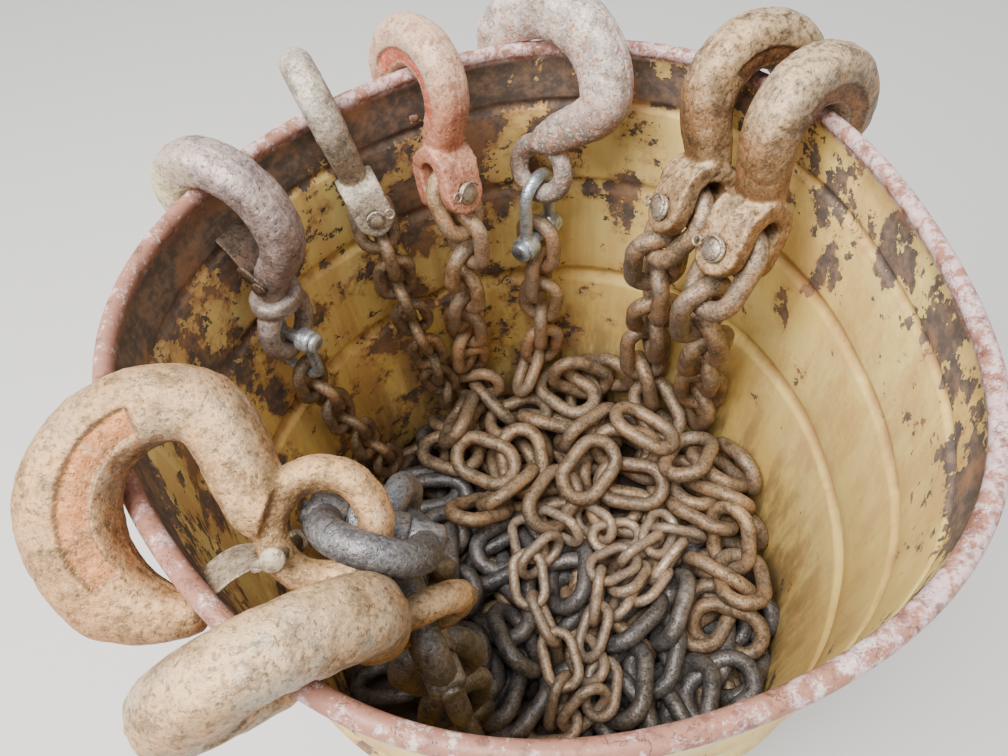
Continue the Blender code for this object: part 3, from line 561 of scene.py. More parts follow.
def cut(ob, other, how):
    """Joins, cuts or keeps the common part of two closed bodies; the second one is used up."""
    made = ob.modifiers.new(how, "BOOLEAN")
    made.operation = how
    made.solver = "EXACT"
    made.object = other
    bake(ob)
    bpy.data.objects.remove(other, do_unlink=True)


def forge(ob, voxel, rounds=6):
    """Runs overlapping solids into one forging with soft fillets where they meet."""
    grow = ob.modifiers.new("one body", "REMESH")
    grow.mode = "VOXEL"
    grow.voxel_size = voxel
    grow.use_smooth_shade = True
    soften = ob.modifiers.new("fillets", "SMOOTH")
    soften.factor = 0.5
    soften.iterations = rounds
    bake(ob)
    ob.data.shade_smooth()
    return ob


def per_point(me, what):
    """A vector for each point of the mesh, in rows."""
    values = np.empty(len(me.vertices) * 3)
    me.vertices.foreach_get(what, values)
    return values.reshape(-1, 3)


RECESS_DEPTH = 0.0022
FLASH_HEIGHT = 0.0007
FLASH_WIDTH = 0.0011
SCALE_HEIGHT = 0.0007


def finish_forging(ob, h, m, o):
    """Sinks the plain panel into both sides of the bowl, raises the die line and roughens the scale."""
    me = ob.data
    co = per_point(me, "co")
    local = (co - o) @ m
    rho = np.hypot(local[:, 0], local[:, 2])
    ang = np.degrees(np.arctan2(local[:, 2], local[:, 0]))
    ang = np.where(ang < -90, ang + 360, ang)
    middle = h["bowl"] + h["deep"] / 2
    panel = np.zeros(len(co))
    if "recess" in h:
        a0, a1 = h["recess"]
        across = np.abs(rho - middle + 0.22 * h["deep"]) / (h["deep"] * 0.5)
        soft = math.degrees(0.006 / middle)
        panel = (smooth(0.33, 0.24, across) * smooth(a0, a0 + soft, ang) * smooth(a1, a1 - soft, ang)
                 * smooth(0.25, 0.55, np.abs(local[:, 1]) / (h["wide"] * 0.5)))
        local[:, 1] -= np.sign(local[:, 1]) * RECESS_DEPTH * panel
    line = np.exp(-(local[:, 1] / FLASH_WIDTH) ** 2) * (panel < 0.01)
    normals = per_point(me, "normal")
    lump = np.array([noise.noise(Vector(q) * 90.0) + 0.5 * noise.noise(Vector(q) * 210.0) for q in co])
    co = local @ m.T + o + normals * (FLASH_HEIGHT * line + SCALE_HEIGHT * lump)[:, None]
    me.vertices.foreach_set("co", co.ravel())
    # How far along the hook from the point, how far out on the bowl, and the panel, for the finishes
    fallen = -local[:, 2] / h["shank"]
    on_shank = (fallen > 0) & ((local[:, 0] < 0.3 * h["bowl"]) | (fallen > 0.8))
    along = np.where(on_shank, 0.5 + 0.5 * np.clip(fallen / 1.2, 0, 1), 0.5 * np.clip(ang / 180, 0, 1))
    outer = np.clip((rho - h["bowl"]) / h["deep"], 0, 1)
    for label, values in (("panel", panel), ("along", along), ("outer", outer)):
        me.attributes.new(label, "FLOAT", "POINT").data.foreach_set("value", values)
    me.update()


def iron_finish(name, base, worn, rust, dust_and_highlight, rust_share=0.5, dust_and_highlight_share=0.5, polish=0.0, metal=0.35,
                panel=None, point=None, shank=None, back=None, specks=None, scale=1.0, other=None):
    """Forged iron: scale and rust in blotches, rubbed pale on some of it, with dust on what faces up, which
    is also a painted highlight on the faces that the light from above falls on.

    point, shank and back are colours of the hook's point, of its lower shank and of the bowl's outer side,
    and other is the colour of large patches and of whole links here and there.
    """
    iron = Finish(name, base)
    broad = iron.mottle(22.0 * scale, 4, 0.65)
    fine = iron.mottle(110.0 * scale, 4, 0.72)
    grit = iron.mottle(420.0, 2, 0.7)
    pits = iron.mottle(260.0 * scale, 2, 0.65)
    tone = iron.fact("tone")
    iron.lay(worn, broad.step(0.42, 0.58))
    if other:
        patches = iron.mottle(11.0 * scale, 3, 0.6, shift=(3, 1, 2)).step(0.46, 0.58) * 0.85
        iron.lay(other, patches.or_more(tone.step(0.60, 0.75) * 0.8))
    if back:
        iron.lay(back, (iron.fact("outer") + broad * 0.7).step(0.75, 1.05))
    if point:
        iron.lay(point, (iron.fact("along") + broad * 0.3).step(0.50, 0.30))
    if shank:
        iron.lay(shank, (iron.fact("along") + broad * 0.3).step(0.62, 0.88))
    iron.lay(rust, (fine * 0.6 + broad * 0.4).step(0.44, 0.60) * rust_share)
    # Dust and painted highlight: paler patches on the faces that look up towards the light
    up = iron.split(node(iron.tree, "ShaderNodeNewGeometry").outputs["Normal"])[2]
    iron.lay(dust_and_highlight, up.step(-0.1, 0.95) * fine.step(0.30, 0.58) * dust_and_highlight_share)
    if panel:
        sunk = iron.fact("panel")
        iron.lay(panel, sunk * fine.step(0.25, 0.50))
        # Painted shade along the recess's edge: the base colour darkened where the panel's wall meets the
        # flat round it
        edge = (sunk * (1.0 - sunk) * 3.2).capped()
        iron.lay(times(base, 0.35), edge * 0.75)
    if specks:
        iron.lay(specks, iron.mottle(130.0, 4, 0.7).step(0.54, 0.60) * 0.6)
    iron.lay(times(base, 0.6), tone * 0.40)
    iron.lay(times(base, 0.5), iron.mottle(58.0 * scale, 4, 0.7).step(0.50, 0.64) * 0.6)
    iron.lay(times(base, 0.35), pits.step(0.54, 0.68) * 0.55)
    iron.lay(times(worn, 1.5), grit.step(0.46, 0.34) * 0.35)
    iron.lay(times(base, 0.45), grit.step(0.54, 0.64) * 0.4)
    rough = grit * 0.30 + fine - pits.step(0.52, 0.70) * 0.30
    return iron.done(fine * 0.45 + (0.36 - 0.2 * polish), metal, rough, 0.0013, 0.75)


HOOK_FINISHES = {
    "a": iron_finish("tan_forging", rgb(140, 108, 72), rgb(192, 154, 108), rgb(186, 118, 64),
                     rgb(216, 178, 128), 0.55, 0.5, panel=rgb(196, 128, 76), point=rgb(160, 120, 80),
                     other=rgb(172, 150, 124)),
    "b": iron_finish("grey_tan_forging", rgb(142, 112, 78), rgb(194, 160, 118), rgb(186, 124, 72),
                     rgb(220, 190, 148), 0.5, 0.6, panel=rgb(150, 118, 84), other=rgb(176, 162, 142)),
    "c": iron_finish("purple_forging", rgb(122, 102, 96), rgb(172, 152, 144), rgb(150, 108, 82),
                     rgb(204, 188, 180), 0.4, 0.5, 0.6, point=rgb(232, 214, 168), other=rgb(152, 140, 144)),
    "d": iron_finish("grey_green_forging", rgb(136, 120, 102), rgb(184, 170, 152), rgb(152, 112, 80),
                     rgb(220, 210, 190), 0.4, 0.55, point=rgb(236, 228, 210), shank=rgb(156, 142, 124),
                     other=rgb(160, 156, 148)),
    "e": iron_finish("red_forging", rgb(188, 118, 90), rgb(198, 150, 120), rgb(156, 98, 68),
                     rgb(232, 188, 160), 0.45, 0.5, metal=0.1, panel=rgb(194, 96, 66),
                     back=rgb(210, 180, 152), shank=rgb(190, 122, 96), other=rgb(172, 156, 138)),
    "f": iron_finish("pale_forging", rgb(156, 142, 134), rgb(228, 212, 202), rgb(188, 132, 98),
                     rgb(232, 218, 208), 0.5, 0.5, metal=0.2, shank=rgb(116, 104, 94),
                     specks=rgb(206, 140, 98), other=rgb(208, 180, 166)),
    "g": iron_finish("brown_forging", rgb(96, 74, 50), rgb(148, 118, 80), rgb(160, 100, 52),
                     rgb(226, 198, 156), 0.55, 0.75, panel=rgb(130, 86, 50), shank=rgb(120, 88, 56),
                     other=rgb(138, 122, 104)),
}
HOOK_FINISHES["h"] = HOOK_FINISHES["g"]
# The eye at a hook's end: radius of its ring and of the ring's wire, which is forged a little slimmer
EYES = {"a": (0.0300, 0.0115), "b": (0.0300, 0.0115), "f": (0.0260, 0.0110)}
EYE_SLIMMER = 0.88
# The clevis at a hook's end: chain, pin radius, half the slot, thickness and radius of an ear
CAST_EARS = ("hang20", 0.0092, 0.0132, 0.0170, 0.0225)
EARS = {
    "d": ("hang13", 0.0068, 0.0095, 0.0120, 0.0180),
    "e": ("hang16", 0.0082, 0.0112, 0.0140, 0.0205),
    "g": CAST_EARS,
    "h": CAST_EARS,
}
LINK_SHARE = 1.10
SLOT_PLAY = 0.006
BORE_PLAY = 0.0006
WELL_PAST = 0.08
TIP_REACH = 0.42


def hook_rings(h, m, o):
    """Rings of points from the rounded tip round the bowl to the end of the shank."""
    line = hook_line(h)
    c, d, deep, wide = line[0]
    tip = [(c - d * (deep * TIP_REACH * math.sqrt(1 - f ** 2)), d, deep * f, wide * f)
           for f in (0.30, 0.62, 0.86)]
    rings = []
    for c, d, deep, wide in tip + line:
        out = np.array([d[1], 0, -d[0]])
        rings.append([m @ p + o for p in section((c[0], 0, c[1]), out, FLAT, deep / 2, wide / 2)])
    return rings


places = {}
pins = {}
eyes = {}
for key, h in HOOKS.items():
    m, o = hook_frame(h)
    places[key] = (m, o)
    bm = bmesh.new()
    skin(bm, hook_rings(h, m, o))
    root = np.array([0, 0, -h["shank"]])
    if key in EYES:
        radius, wire = EYES[key]
        eye = root + END * radius * 0.98
        eyes[key] = eye
        ring = [m @ (eye + radius * np.array([math.cos(t), 0, math.sin(t)])) + o
                for t in np.linspace(0, 2 * math.pi, 60, endpoint=False)]
        bar(bm, ring, wire * EYE_SLIMMER, 24, True, up=m[:, 1])
    ob = from_bm("hook_" + key + "_forging", bm)
    if key in EARS:
        kind, pin_r, half, ear, er = EARS[key]
        out = half + ear
        pin_at = root + END * (pin_r + LINK_SHARE * CHAIN[kind][0] + SLOT_PLAY)
        past = pin_at + END * WELL_PAST
        solids = []
        for start, stop, radius, low, high, through in (
                (root - END * er * 0.35, pin_at, er, -out, out, ACROSS),
                (root + END * out * 0.45, past, out, -er * 1.2, er * 1.2, FLAT),
                (root + END * half, past, half, -er * 1.5, er * 1.5, FLAT)):
            bm = bmesh.new()
            plate(bm, m, o, start, stop, radius, low, high, through)
            solids.append(from_bm("clevis tool", bm))
        bm = bmesh.new()
        reach = ACROSS * WELL_PAST
        rod(bm, m @ (pin_at - reach) + o, m @ (pin_at + reach) + o, pin_r + BORE_PLAY)
        head, shoulders, slot = solids
        cut(head, shoulders, "INTERSECT")
        cut(ob, head, "UNION")
        cut(ob, slot, "DIFFERENCE")
        cut(ob, from_bm("bore", bm), "DIFFERENCE")
        pins[key] = (m @ pin_at + o, m @ ACROSS, pin_r, out, kind)
    forge(ob, 0.0013 if h["deep"] < 0.036 else 0.0016)
    finish_forging(ob, h, m, o)
    ob.data.materials.append(HOOK_FINISHES[key])
    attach(ob, "root")
    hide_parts("hook_" + key)


# Clevis pins
# A turned steel pin through the two ears of each clevis hook. Its near end stands out of the ear and is held
# by a spring cotter: a small wire ring beside the pin with a bent arm laid round the pin's end.
down = np.array([0, 0, -1.0])
# Where the chain from each hook lands in the heap, and its links from there on, in millimetres and degrees
LEGS = {
    "d": ((-130, 222, 420), ()),
    "e": ((-105, 262, 440), ((-85, 235, 432, 10, 75),)),
    "g": ((148, 245, 430), ()),
    "h": ((215, 205, 420), ()),
}
# How far the clevis makes its first link lean out of the plumb
LEANS = {"d": 0.0, "e": 0.0, "g": -0.3, "h": 1.2}
COTTER_SIDE = {"d": -1, "e": 1, "g": 1, "h": 1}
links = []
pin_steel = iron_finish("pin_steel", rgb(150, 134, 116), rgb(182, 168, 150), rgb(140, 104, 76),
                        rgb(204, 190, 170), 0.35, 0.4, 0.6, 0.6)
PIN_END, PIN_TAIL, PIN_HEAD = 0.006, 0.004, 1.25
COTTER_RING, COTTER_WIRE = 0.0042, 0.0013
for key, (landing, tail) in LEGS.items():
    at, axis, pin_r, out, kind = pins[key]
    m, o = places[key]
    bm = bmesh.new()
    rod(bm, at - axis * (out + PIN_END), at + axis * (out + PIN_TAIL), pin_r)
    rod(bm, at - axis * (out + PIN_TAIL), at - axis * (out + GAP), pin_r * PIN_HEAD)
    across = m[:, 1] * COTTER_SIDE[key]
    uphill = unit(np.cross(axis, across)) * (1 if np.cross(axis, across)[2] > 0 else -1)
    face = at - axis * (out + 0.0052)
    eyelet = face + across * (pin_r * PIN_HEAD + 0.0050) + uphill * 0.001
    loop = [eyelet + COTTER_RING * (math.cos(t) * across + math.sin(t) * uphill)
            for t in np.linspace(math.pi, 3.3 * math.pi, 22)]
    arm = [face + (pin_r * 1.10 + 0.0016) * (math.cos(t) * across + math.sin(t) * uphill)
           for t in np.linspace(0.25, 2.6, 12)]
    bar(bm, [p - axis * 0.0006 for p in loop], COTTER_WIRE, 10)
    bar(bm, [p - axis * 0.0022 for p in arm], 0.0012, 10)
    ob = from_bm("clevis_pin_" + key, bm)
    ob.data.materials.append(pin_steel)
    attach(ob, "root")
    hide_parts("pin_" + key)
    reach = pin_r + CROWN * CHAIN[kind][0] + GAP
    links += leg("chain_" + key, kind, at, axis, down + m @ END * LEANS[key], reach, landing, tail)


# Shackles and the swivel bail
# Two galvanised bow shackles, one in the big eye at the back and one in the ring of the left hook's swivel
# bail. Each is a bent bar with two drilled bosses and a screwed pin with a collar.
galvanised = iron_finish("galvanised", rgb(190, 202, 214), rgb(226, 236, 242), rgb(150, 146, 142),
                         rgb(232, 238, 242), 0.25, 0.4, 1.2, 0.75)


def shackle(name, top, d, side, wire, inner, length):
    """A bow whose crown's wire has its middle at `top`, its drilled bosses and its pin `length` along d."""
    r = inner / 2 + wire / 2
    bend = top + d * r
    boss_at = top + d * length
    limb = [boss_at + (bend - boss_at) * f for f in (0, 0.25, 0.5, 0.75)]
    path = [p + side * r for p in limb]
    path += [bend - d * r * math.sin(t) + side * r * math.cos(t) for t in np.linspace(0, math.pi, 19)]
    path += [p - side * r for p in limb[::-1]]
    bm = bmesh.new()
    bar(bm, path, wire / 2, 18, up=unit(np.cross(d, side)))
    boss = wire * 0.62
    out = r + boss
    for sign in (1, -1):
        rod(bm, boss_at + side * sign * (r - boss), boss_at + side * sign * out, wire * 1.05)
    bow = forge(from_bm(name + "_bow", bm), 0.0009, 4)
    bow.data.materials.append(galvanised)
    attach(bow, "root")
    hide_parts(name)
    pin_r = wire * 0.56
    end = boss_at + side * (out + wire * 0.55)
    bm = bmesh.new()
    rod(bm, boss_at - side * out, end, pin_r)
    rod(bm, boss_at + side * (out + GAP), end, wire * 0.85, edge=0.0015)
    pin = from_bm(name + "_bolt", bm)
    pin.data.materials.append(galvanised)
    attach(pin, "root")
    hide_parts("pin_" + name)
    return boss_at, pin_r


def hanging_place(m, o, centre, radius, way=None):
    """The wire's middle and direction where a link hangs in a ring: at its lowest point, or along `way`."""
    d = m.T @ down if way is None else way
    rad = unit(np.array([d[0], 0, d[2]]))
    return m @ (centre + rad * radius) + o, m @ np.array([-rad[2], 0, rad[0]])


m, o = places["f"]
at, along = hanging_place(m, o, eyes["f"], EYES["f"][0])
side = unit(np.cross(along, down))
hang = np.cross(side, along)
BOW_F = dict(wire=0.013, inner=0.030, length=0.078)
top = at - hang * (EYES["f"][1] + BOW_F["wire"] / 2 + 0.0010)
ear, pin_r = shackle("shackle_f", top, hang, side, **BOW_F)
links += leg("chain_f", "hang16", ear, side, down, pin_r + CROWN * CHAIN["hang16"][0] + GAP,
             (4, 258, 436), ((-20, 240, 432, -130, 66),))

m, o = places["c"]
root = np.array([0, 0, -HOOKS["c"]["shank"]])
BAIL_RADIUS, BAIL_WIRE = 0.0250, 0.0090
BAIL_STRETCH = 1.2
BAIL_AT = root + END * 0.046
COLLAR = ((0.0003, 0.0215), (0.003, 0.0252), (0.007, 0.0262), (0.012, 0.0258), (0.017, 0.0235),
          (0.020, 0.0205))
bm = bmesh.new()
collar = []
for reach, radius in COLLAR:
    collar.append([m @ (root + END * reach + radius * (0.86 * math.cos(t) * ACROSS + math.sin(t) * FLAT)) + o
                   for t in np.arange(ROD_SIDES) * 2 * math.pi / ROD_SIDES])
skin(bm, collar)
ring = []
thick = []
for t in np.linspace(0, 2 * math.pi, 48, endpoint=False):
    ring.append(m @ (BAIL_AT + BAIL_RADIUS * (math.cos(t) * END * BAIL_STRETCH + math.sin(t) * FLAT)) + o)
    thick.append(BAIL_WIRE * (1.0 + 0.28 * max(0.0, -math.cos(t))))
bar(bm, ring, thick, 20, True, up=m @ ACROSS)
bail = forge(from_bm("swivel_bail", bm), 0.0012, 5)
finish_forging(bail, dict(bowl=1.0, deep=0.01, wide=0.03, shank=1.0), m, o)
bail.data.materials.append(iron_finish("bail_forging", rgb(148, 132, 122), rgb(176, 160, 152),
                                       rgb(146, 116, 96), rgb(196, 182, 176), 0.35, 0.5, 0.4))
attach(bail, "root")
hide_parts("bail_c")
side = -(m @ ACROSS)
hang = unit(down - side * (down @ side))
BOW_C = dict(wire=0.011, inner=0.026, length=0.062)
low = m @ (BAIL_AT + END * BAIL_RADIUS * BAIL_STRETCH) + o
ear = low - hang * (BAIL_WIRE + BOW_C["wire"] * 0.56 + CLEAR)
bolt = ear + hang * BOW_C["length"]
shackle("shackle_c", bolt, -hang, side, **BOW_C)
links += leg("chain_c", "hang13", bolt, side, down, BOW_C["wire"] / 2 + CROWN * CHAIN["hang13"][0] + GAP,
             (-199, 130, 390))

BIG = {
    "a": ((-129, -39, 385), END, (-0.15, 1.4, -1.0)),
    "b": ((-87, -200, 385), None, (0, 0, -1.0)),
}
for key, (landing, side_of_eye, way) in BIG.items():
    m, o = places[key]
    at, along = hanging_place(m, o, eyes[key], EYES[key][0], side_of_eye)
    reach = EYES[key][1] + CROWN * CHAIN["coupling"][0] + CLEAR
    links += leg("chain_" + key, "dark", at, along, way, reach, landing, first="coupling")


# Latches
# The sprung sheet-steel latch of the swivel hook and of one big hook: two cheeks on a bolt through the shank
# and a tongue across the mouth to the inside of the point. The big hook's latch has slipped and is twisted.
latch_steel = iron_finish("latch_steel", rgb(122, 106, 86), rgb(160, 144, 120), rgb(134, 92, 60),
                          rgb(196, 180, 152), 0.4, 0.5, 0.4)
latch_rusty = iron_finish("latch_rusty", rgb(70, 58, 50), rgb(104, 88, 76), rgb(128, 84, 54),
                          rgb(134, 116, 100), 0.5, 0.3, 0.4)
SHEET = 0.0012
BOLT_RADIUS, NUT_RADIUS = 0.0042, 0.0072
LATCHES = {
    "a": dict(tip=(0.044, 0, -0.015), pivot=(0.022, 0, -HOOKS["a"]["shank"] - 0.008), narrow=0.45, twist=0.9,
              finish=latch_steel),
    "c": dict(tip=(0.0325, 0, -0.004), pivot=None, narrow=1.0, twist=0.0, finish=latch_rusty),
}
for key, latch in LATCHES.items():
    m, o = places[key]
    c, _, deep, wide = hook_line(HOOKS[key])[-6]
    deep *= latch["narrow"]
    pivot = np.array(latch["pivot"] or (c[0], 0, c[1]))
    tip = np.array(latch["tip"])
    way = unit(tip - pivot)
    off = np.array([-way[2], 0, way[0]])
    bm = bmesh.new()
    for sign in (1, -1):
        near, far = sorted((sign * (wide / 2 - SHEET), sign * (wide / 2 + 0.0022)))
        plate(bm, m, o, pivot, pivot + way * deep * 0.62, deep * 0.20, near, far, edge=0.0006)
        nut = pivot + FLAT * sign * (wide / 2 + 0.0024)
        rod(bm, m @ nut + o, m @ (nut + FLAT * sign * 0.0034) + o, NUT_RADIUS, edge=0.0010)
    bolt = FLAT * (wide / 2 + 0.005)
    rod(bm, m @ (pivot - bolt) + o, m @ (pivot + bolt) + o, BOLT_RADIUS)
    tongue = []
    for t in np.linspace(0, 1, 14):
        q = pivot + way * (deep * 0.42 + t * (np.linalg.norm(tip - pivot) - deep * 0.42))
        q = q + off * 0.005 * math.sin(t * math.pi)
        a = latch["twist"] * t
        half_wide = (wide / 2 + 0.0020) * (1 - 0.45 * t)
        flat, edge = off * math.cos(a) + FLAT * math.sin(a), FLAT * math.cos(a) - off * math.sin(a)
        tongue.append([m @ p + o for p in section(q, flat, edge, SHEET, half_wide, 20, 0.4)])
    skin(bm, tongue)
    ob = from_bm("latch_" + key, bm)
    ob.data.materials.append(latch["finish"])
    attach(ob, "root")


# The heap
# Loose chain tipped into the drum, three sorts on top of each other. Each row gives where its links lie: x, y
# and height in millimetres, then heading and roll in degrees. Then they are pushed clear of each other.
KIND_OF = {"rusty": "large", "small": "small", "dark": "dark"}
HEAP = {
    "rusty_01": [(55, 260, 436, -105, 20), (95, 270, 438, 90, 20), (170, 195, 438, -25, 10),
        (185, 120, 440, -135, 20), (130, 145, 446, 145, 30), (60, 160, 440, -160, 80)],
    "rusty_02": [(35, 210, 430, -20, 15)],
    "rusty_03": [(-75, 225, 420, 170, 70), (-110, 190, 424, -105, 75), (-70, 110, 432, -30, 15),
        (-25, 115, 436, -75, 15), (-45, 80, 424, -145, 80), (-85, 50, 412, -140, 80)],
    "rusty_04": [(-95, 175, 412, -95, 75)],
    "rusty_05": [(10, 175, 424, 175, 60), (-30, 195, 416, 20, 20)],
    "rusty_06": [(10, 65, 426, 30, 35), (55, 100, 432, 45, 30)],
    "rusty_07": [(110, 135, 420, -25, 60)],
    "rusty_08": [(112, 90, 408, -10, 10), (98, 62, 396, 5, 10)],
    "rusty_09": [(260, 115, 424, -85, 60), (230, 115, 416, -40, 10), (220, 75, 414, -40, 50),
        (230, 20, 412, -85, 75), (230, -30, 396, -110, 15), (200, -30, 392, -40, 80),
        (185, -70, 372, -115, 15), (210, -85, 366, -50, 70)],
    "rusty_10": [(185, 95, 400, -40, 20), (190, 60, 392, -25, 60)],
    "rusty_11": [(-128, 146, 392, -55, 20)],
    "small_01": [(20, 25, 408, 150, 75), (-20, 20, 404, -75, 10), (-10, 0, 408, -105, 80),
        (-20, -35, 404, -90, 10), (-5, -80, 404, -70, 80), (9, -130, 404, -90, 10),
        (5, -160, 394, -105, 80), (-5, -180, 386, -180, 20)],
    "small_02": [(90, 20, 402, -165, 15), (80, -25, 412, -130, 15), (56, -53, 410, -95, 80),
        (55, -95, 404, -100, 12), (45, -125, 398, -85, 20), (60, -150, 394, -100, 15),
        (35, -170, 388, -165, 70)],
    "small_03": [(60, 45, 402, -75, 70)],
    "small_04": [(140, 30, 404, 55, 15), (165, 30, 406, 5, 80), (122, 0, 408, -150, 75),
        (96, -34, 398, -140, 75)],
    "small_05": [(150, -10, 402, -140, 80), (125, -40, 394, -150, 20), (95, -50, 398, -125, 75)],
    "dark_01": [(145, -60, 384, -140, 70), (120, -110, 376, -125, 15), (85, -140, 372, -90, 75),
        (80, -170, 366, -5, 60)],
    "dark_02": [(100, -80, 372, -135, 70)],
    "dark_03": [(155, -155, 374, 85, 65), (195, -145, 368, -120, 15)],
    "dark_04": [(20, -30, 380, -75, 30), (15, -20, 368, 25, 20)],
    "dark_05": [(-35, -110, 384, -90, 80), (-30, -160, 362, -135, 70), (-60, -145, 364, -90, 45)],
    "dark_06": [(-50, 20, 384, 15, 30), (-60, -5, 374, -150, 20), (-55, -55, 374, -50, 20)],
    "dark_07": [(-125, -40, 380, 5, 20), (-100, -100, 372, -60, 75), (-80, -130, 366, -35, 10)],
    "dark_08": [(-140, 20, 372, 85, 30), (-105, -5, 370, -70, 60)],
    "dark_09": [(-155, 105, 372, 30, 20), (-145, 85, 366, -35, 70)],
}
PULL_HOME = np.array([0.04, 0.04, 0.02])
WEIGHT = np.array([0, 0, 0.00025])
LARGEST_STEP = 0.004
LARGEST_TURN = 0.12
GYRATION = 0.36
EASE = 0.55
SEARCH_MARGIN = 0.012
WALL_ROOM = 0.0012


def mound(x, y):
    return 0.340 + 0.050 * np.exp(-((x - 0.07) ** 2 + (y - 0.19) ** 2) / 0.15 ** 2)


def closest(a0, a1, b0, b1):
    """Nearest points of two straight stretches."""
    d1, d2, r = a1 - a0, b1 - b0, a0 - b0
    aa, ee, ff = (d1 * d1).sum(-1), (d2 * d2).sum(-1), (d2 * r).sum(-1)
    cc, bb = (d1 * r).sum(-1), (d1 * d2).sum(-1)
    den = aa * ee - bb * bb
    s = np.clip((bb * ff - cc * ee) / np.maximum(den, 1e-14), 0, 1)
    t = np.clip((bb * s + ff) / ee, 0, 1)
    s = np.clip((bb * t - cc) / aa, 0, 1)
    return a0 + s[..., None] * d1, b0 + t[..., None] * d2


def rotations(w):
    """Small rotation vectors, one per row, as matrices."""
    ang = np.linalg.norm(w, axis=1)
    a = w / np.maximum(ang, 1e-12)[:, None]
    k = np.zeros((len(w), 3, 3))
    k[:, 0, 1], k[:, 0, 2], k[:, 1, 2] = -a[:, 2], a[:, 1], -a[:, 0]
    k[:, 1, 0], k[:, 2, 0], k[:, 2, 1] = a[:, 2], -a[:, 1], a[:, 0]
    s, c = np.sin(ang)[:, None, None], np.cos(ang)[:, None, None]
    return np.eye(3) + s * k + (1 - c) * k @ k


def settle(links, rounds=480, quiet=220, sunk=0.0):
    """Pushes rigid links clear of each other, of the wall and of the mound; held ones stay."""
    n = len(links)
    local = np.stack([link_path(l["kind"]) for l in links])
    wire = np.array([CHAIN[l["kind"]][0] for l in links])
    size = np.abs(local).max((1, 2)) + wire / 2
    thick = SWELL * wire[:, None] / 2 + CLEAR
    c = np.stack([l["centre"] for l in links])
    m = np.stack([l["frame"] for l in links])
    home = c.copy()
    free = np.array([0.0 if l["held"] else 1.0 for l in links])
    run = np.unique([l["run"] for l in links], return_inverse=True)[1]
    order = np.array([l["order"] for l in links])
    spin = (GYRATION * size) ** 2

    def push(k, way, lever, amount):
        np.add.at(move, k, amount[:, None] * way)
        np.add.at(rot, k, amount[:, None] * lever / spin[k][:, None])
        np.add.at(count, k, 1)

    for it in range(rounds):
        pts = np.einsum("nij,nkj->nki", m, local) + c[:, None]
        if it % 6 == 0:
            gap = np.linalg.norm(c[:, None] - c[None], axis=2)
            ii, jj = np.nonzero(np.triu(gap < size[:, None] + size[None] + SEARCH_MARGIN, 1))
            keep = (free[ii] + free[jj]) > 0
            ii, jj = ii[keep], jj[keep]
            near = (run[ii] == run[jj]) & (np.abs(order[ii] - order[jj]) == 1)
            want = (wire[ii] + wire[jj]) / 2
            want = np.where(near, want * CROWN_BITE, want * SWELL + CLEAR)
        a0, b0 = np.broadcast_arrays(pts[ii][:, :, None], pts[jj][:, None])
        after = np.roll(pts, -1, 1)
        a1, b1 = np.broadcast_arrays(after[ii][:, :, None], after[jj][:, None])
        pa, pb = closest(a0, a1, b0, b1)
        v = pa - pb
        dist = np.linalg.norm(v, axis=-1)
        bite = want[:, None, None] - dist
        hit = bite > 0
        low = dist.reshape(len(ii), -1).argmin(1)
        far = near & (bite.reshape(len(ii), -1).max(1) < -0.0001)
        hit.reshape(len(ii), -1)[np.nonzero(far)[0], low[far]] = True
        q, x, y = np.nonzero(hit)
        i, j = ii[q], jj[q]
        way = v[q, x, y] / np.maximum(dist[q, x, y], 1e-9)[:, None]
        ta, tb = np.cross(pa[q, x, y] - c[i], way), np.cross(pb[q, x, y] - c[j], way)
        weight_a = free[i] * (1 + (ta ** 2).sum(1) / spin[i])
        weight_b = free[j] * (1 + (tb ** 2).sum(1) / spin[j])
        amount = bite[q, x, y] / np.maximum(weight_a + weight_b, 1e-9)
        move, rot, count = np.zeros((n, 3)), np.zeros((n, 3)), np.zeros(n)
        push(i, way, ta, amount)
        push(j, way, tb, -amount)
        rad = np.linalg.norm(pts[:, :, :2], axis=2)
        wall = WALL_INNER + out_of_round(np.arctan2(pts[:, :, 1], pts[:, :, 0]), pts[:, :, 2]) - WALL_ROOM
        over = rad + thick - wall
        under = mound(pts[:, :, 0], pts[:, :, 1]) - sunk + thick + WALL_ROOM - pts[:, :, 2]
        inward = np.zeros_like(pts)
        inward[:, :, :2] = -pts[:, :, :2] / np.maximum(rad, 1e-6)[:, :, None]
        for deep, ways in ((over, inward), (under, np.broadcast_to([0.0, 0.0, 1.0], pts.shape))):
            k, x = np.nonzero(deep > 0)
            lever = np.cross(pts[k, x] - c[k], ways[k, x])
            push(k, ways[k, x], lever, deep[k, x] / (1 + (lever ** 2).sum(1) / spin[k]))
        share = free / np.maximum(count * EASE, 1)
        move *= share[:, None]
        rot *= share[:, None]
        if it < rounds - quiet:
            move += (PULL_HOME * (home - c) - WEIGHT) * free[:, None]
        step = np.linalg.norm(move, axis=1)
        angle = np.linalg.norm(rot, axis=1)
        c = c + move * np.minimum(1, LARGEST_STEP / np.maximum(step, 1e-9))[:, None]
        m = rotations(rot * np.minimum(1, LARGEST_TURN / np.maximum(angle, 1e-9))[:, None]) @ m
    for l, centre, turned in zip(links, c, m):
        l["centre"], l["frame"] = centre, turned


heap = []
for name, spots in HEAP.items():
    for k, (x, y, z, heading, roll) in enumerate(spots):
        heap.append(dict(kind=KIND_OF[name[:-3]], centre=np.array([x, y, z]) / 1000.0, run=name, order=k,
                         frame=link_frame(heading, 0, roll), held=False))
links = heap + links
settle(links)

runs = {}
for l in links:
    runs.setdefault(l["run"], []).append(l)
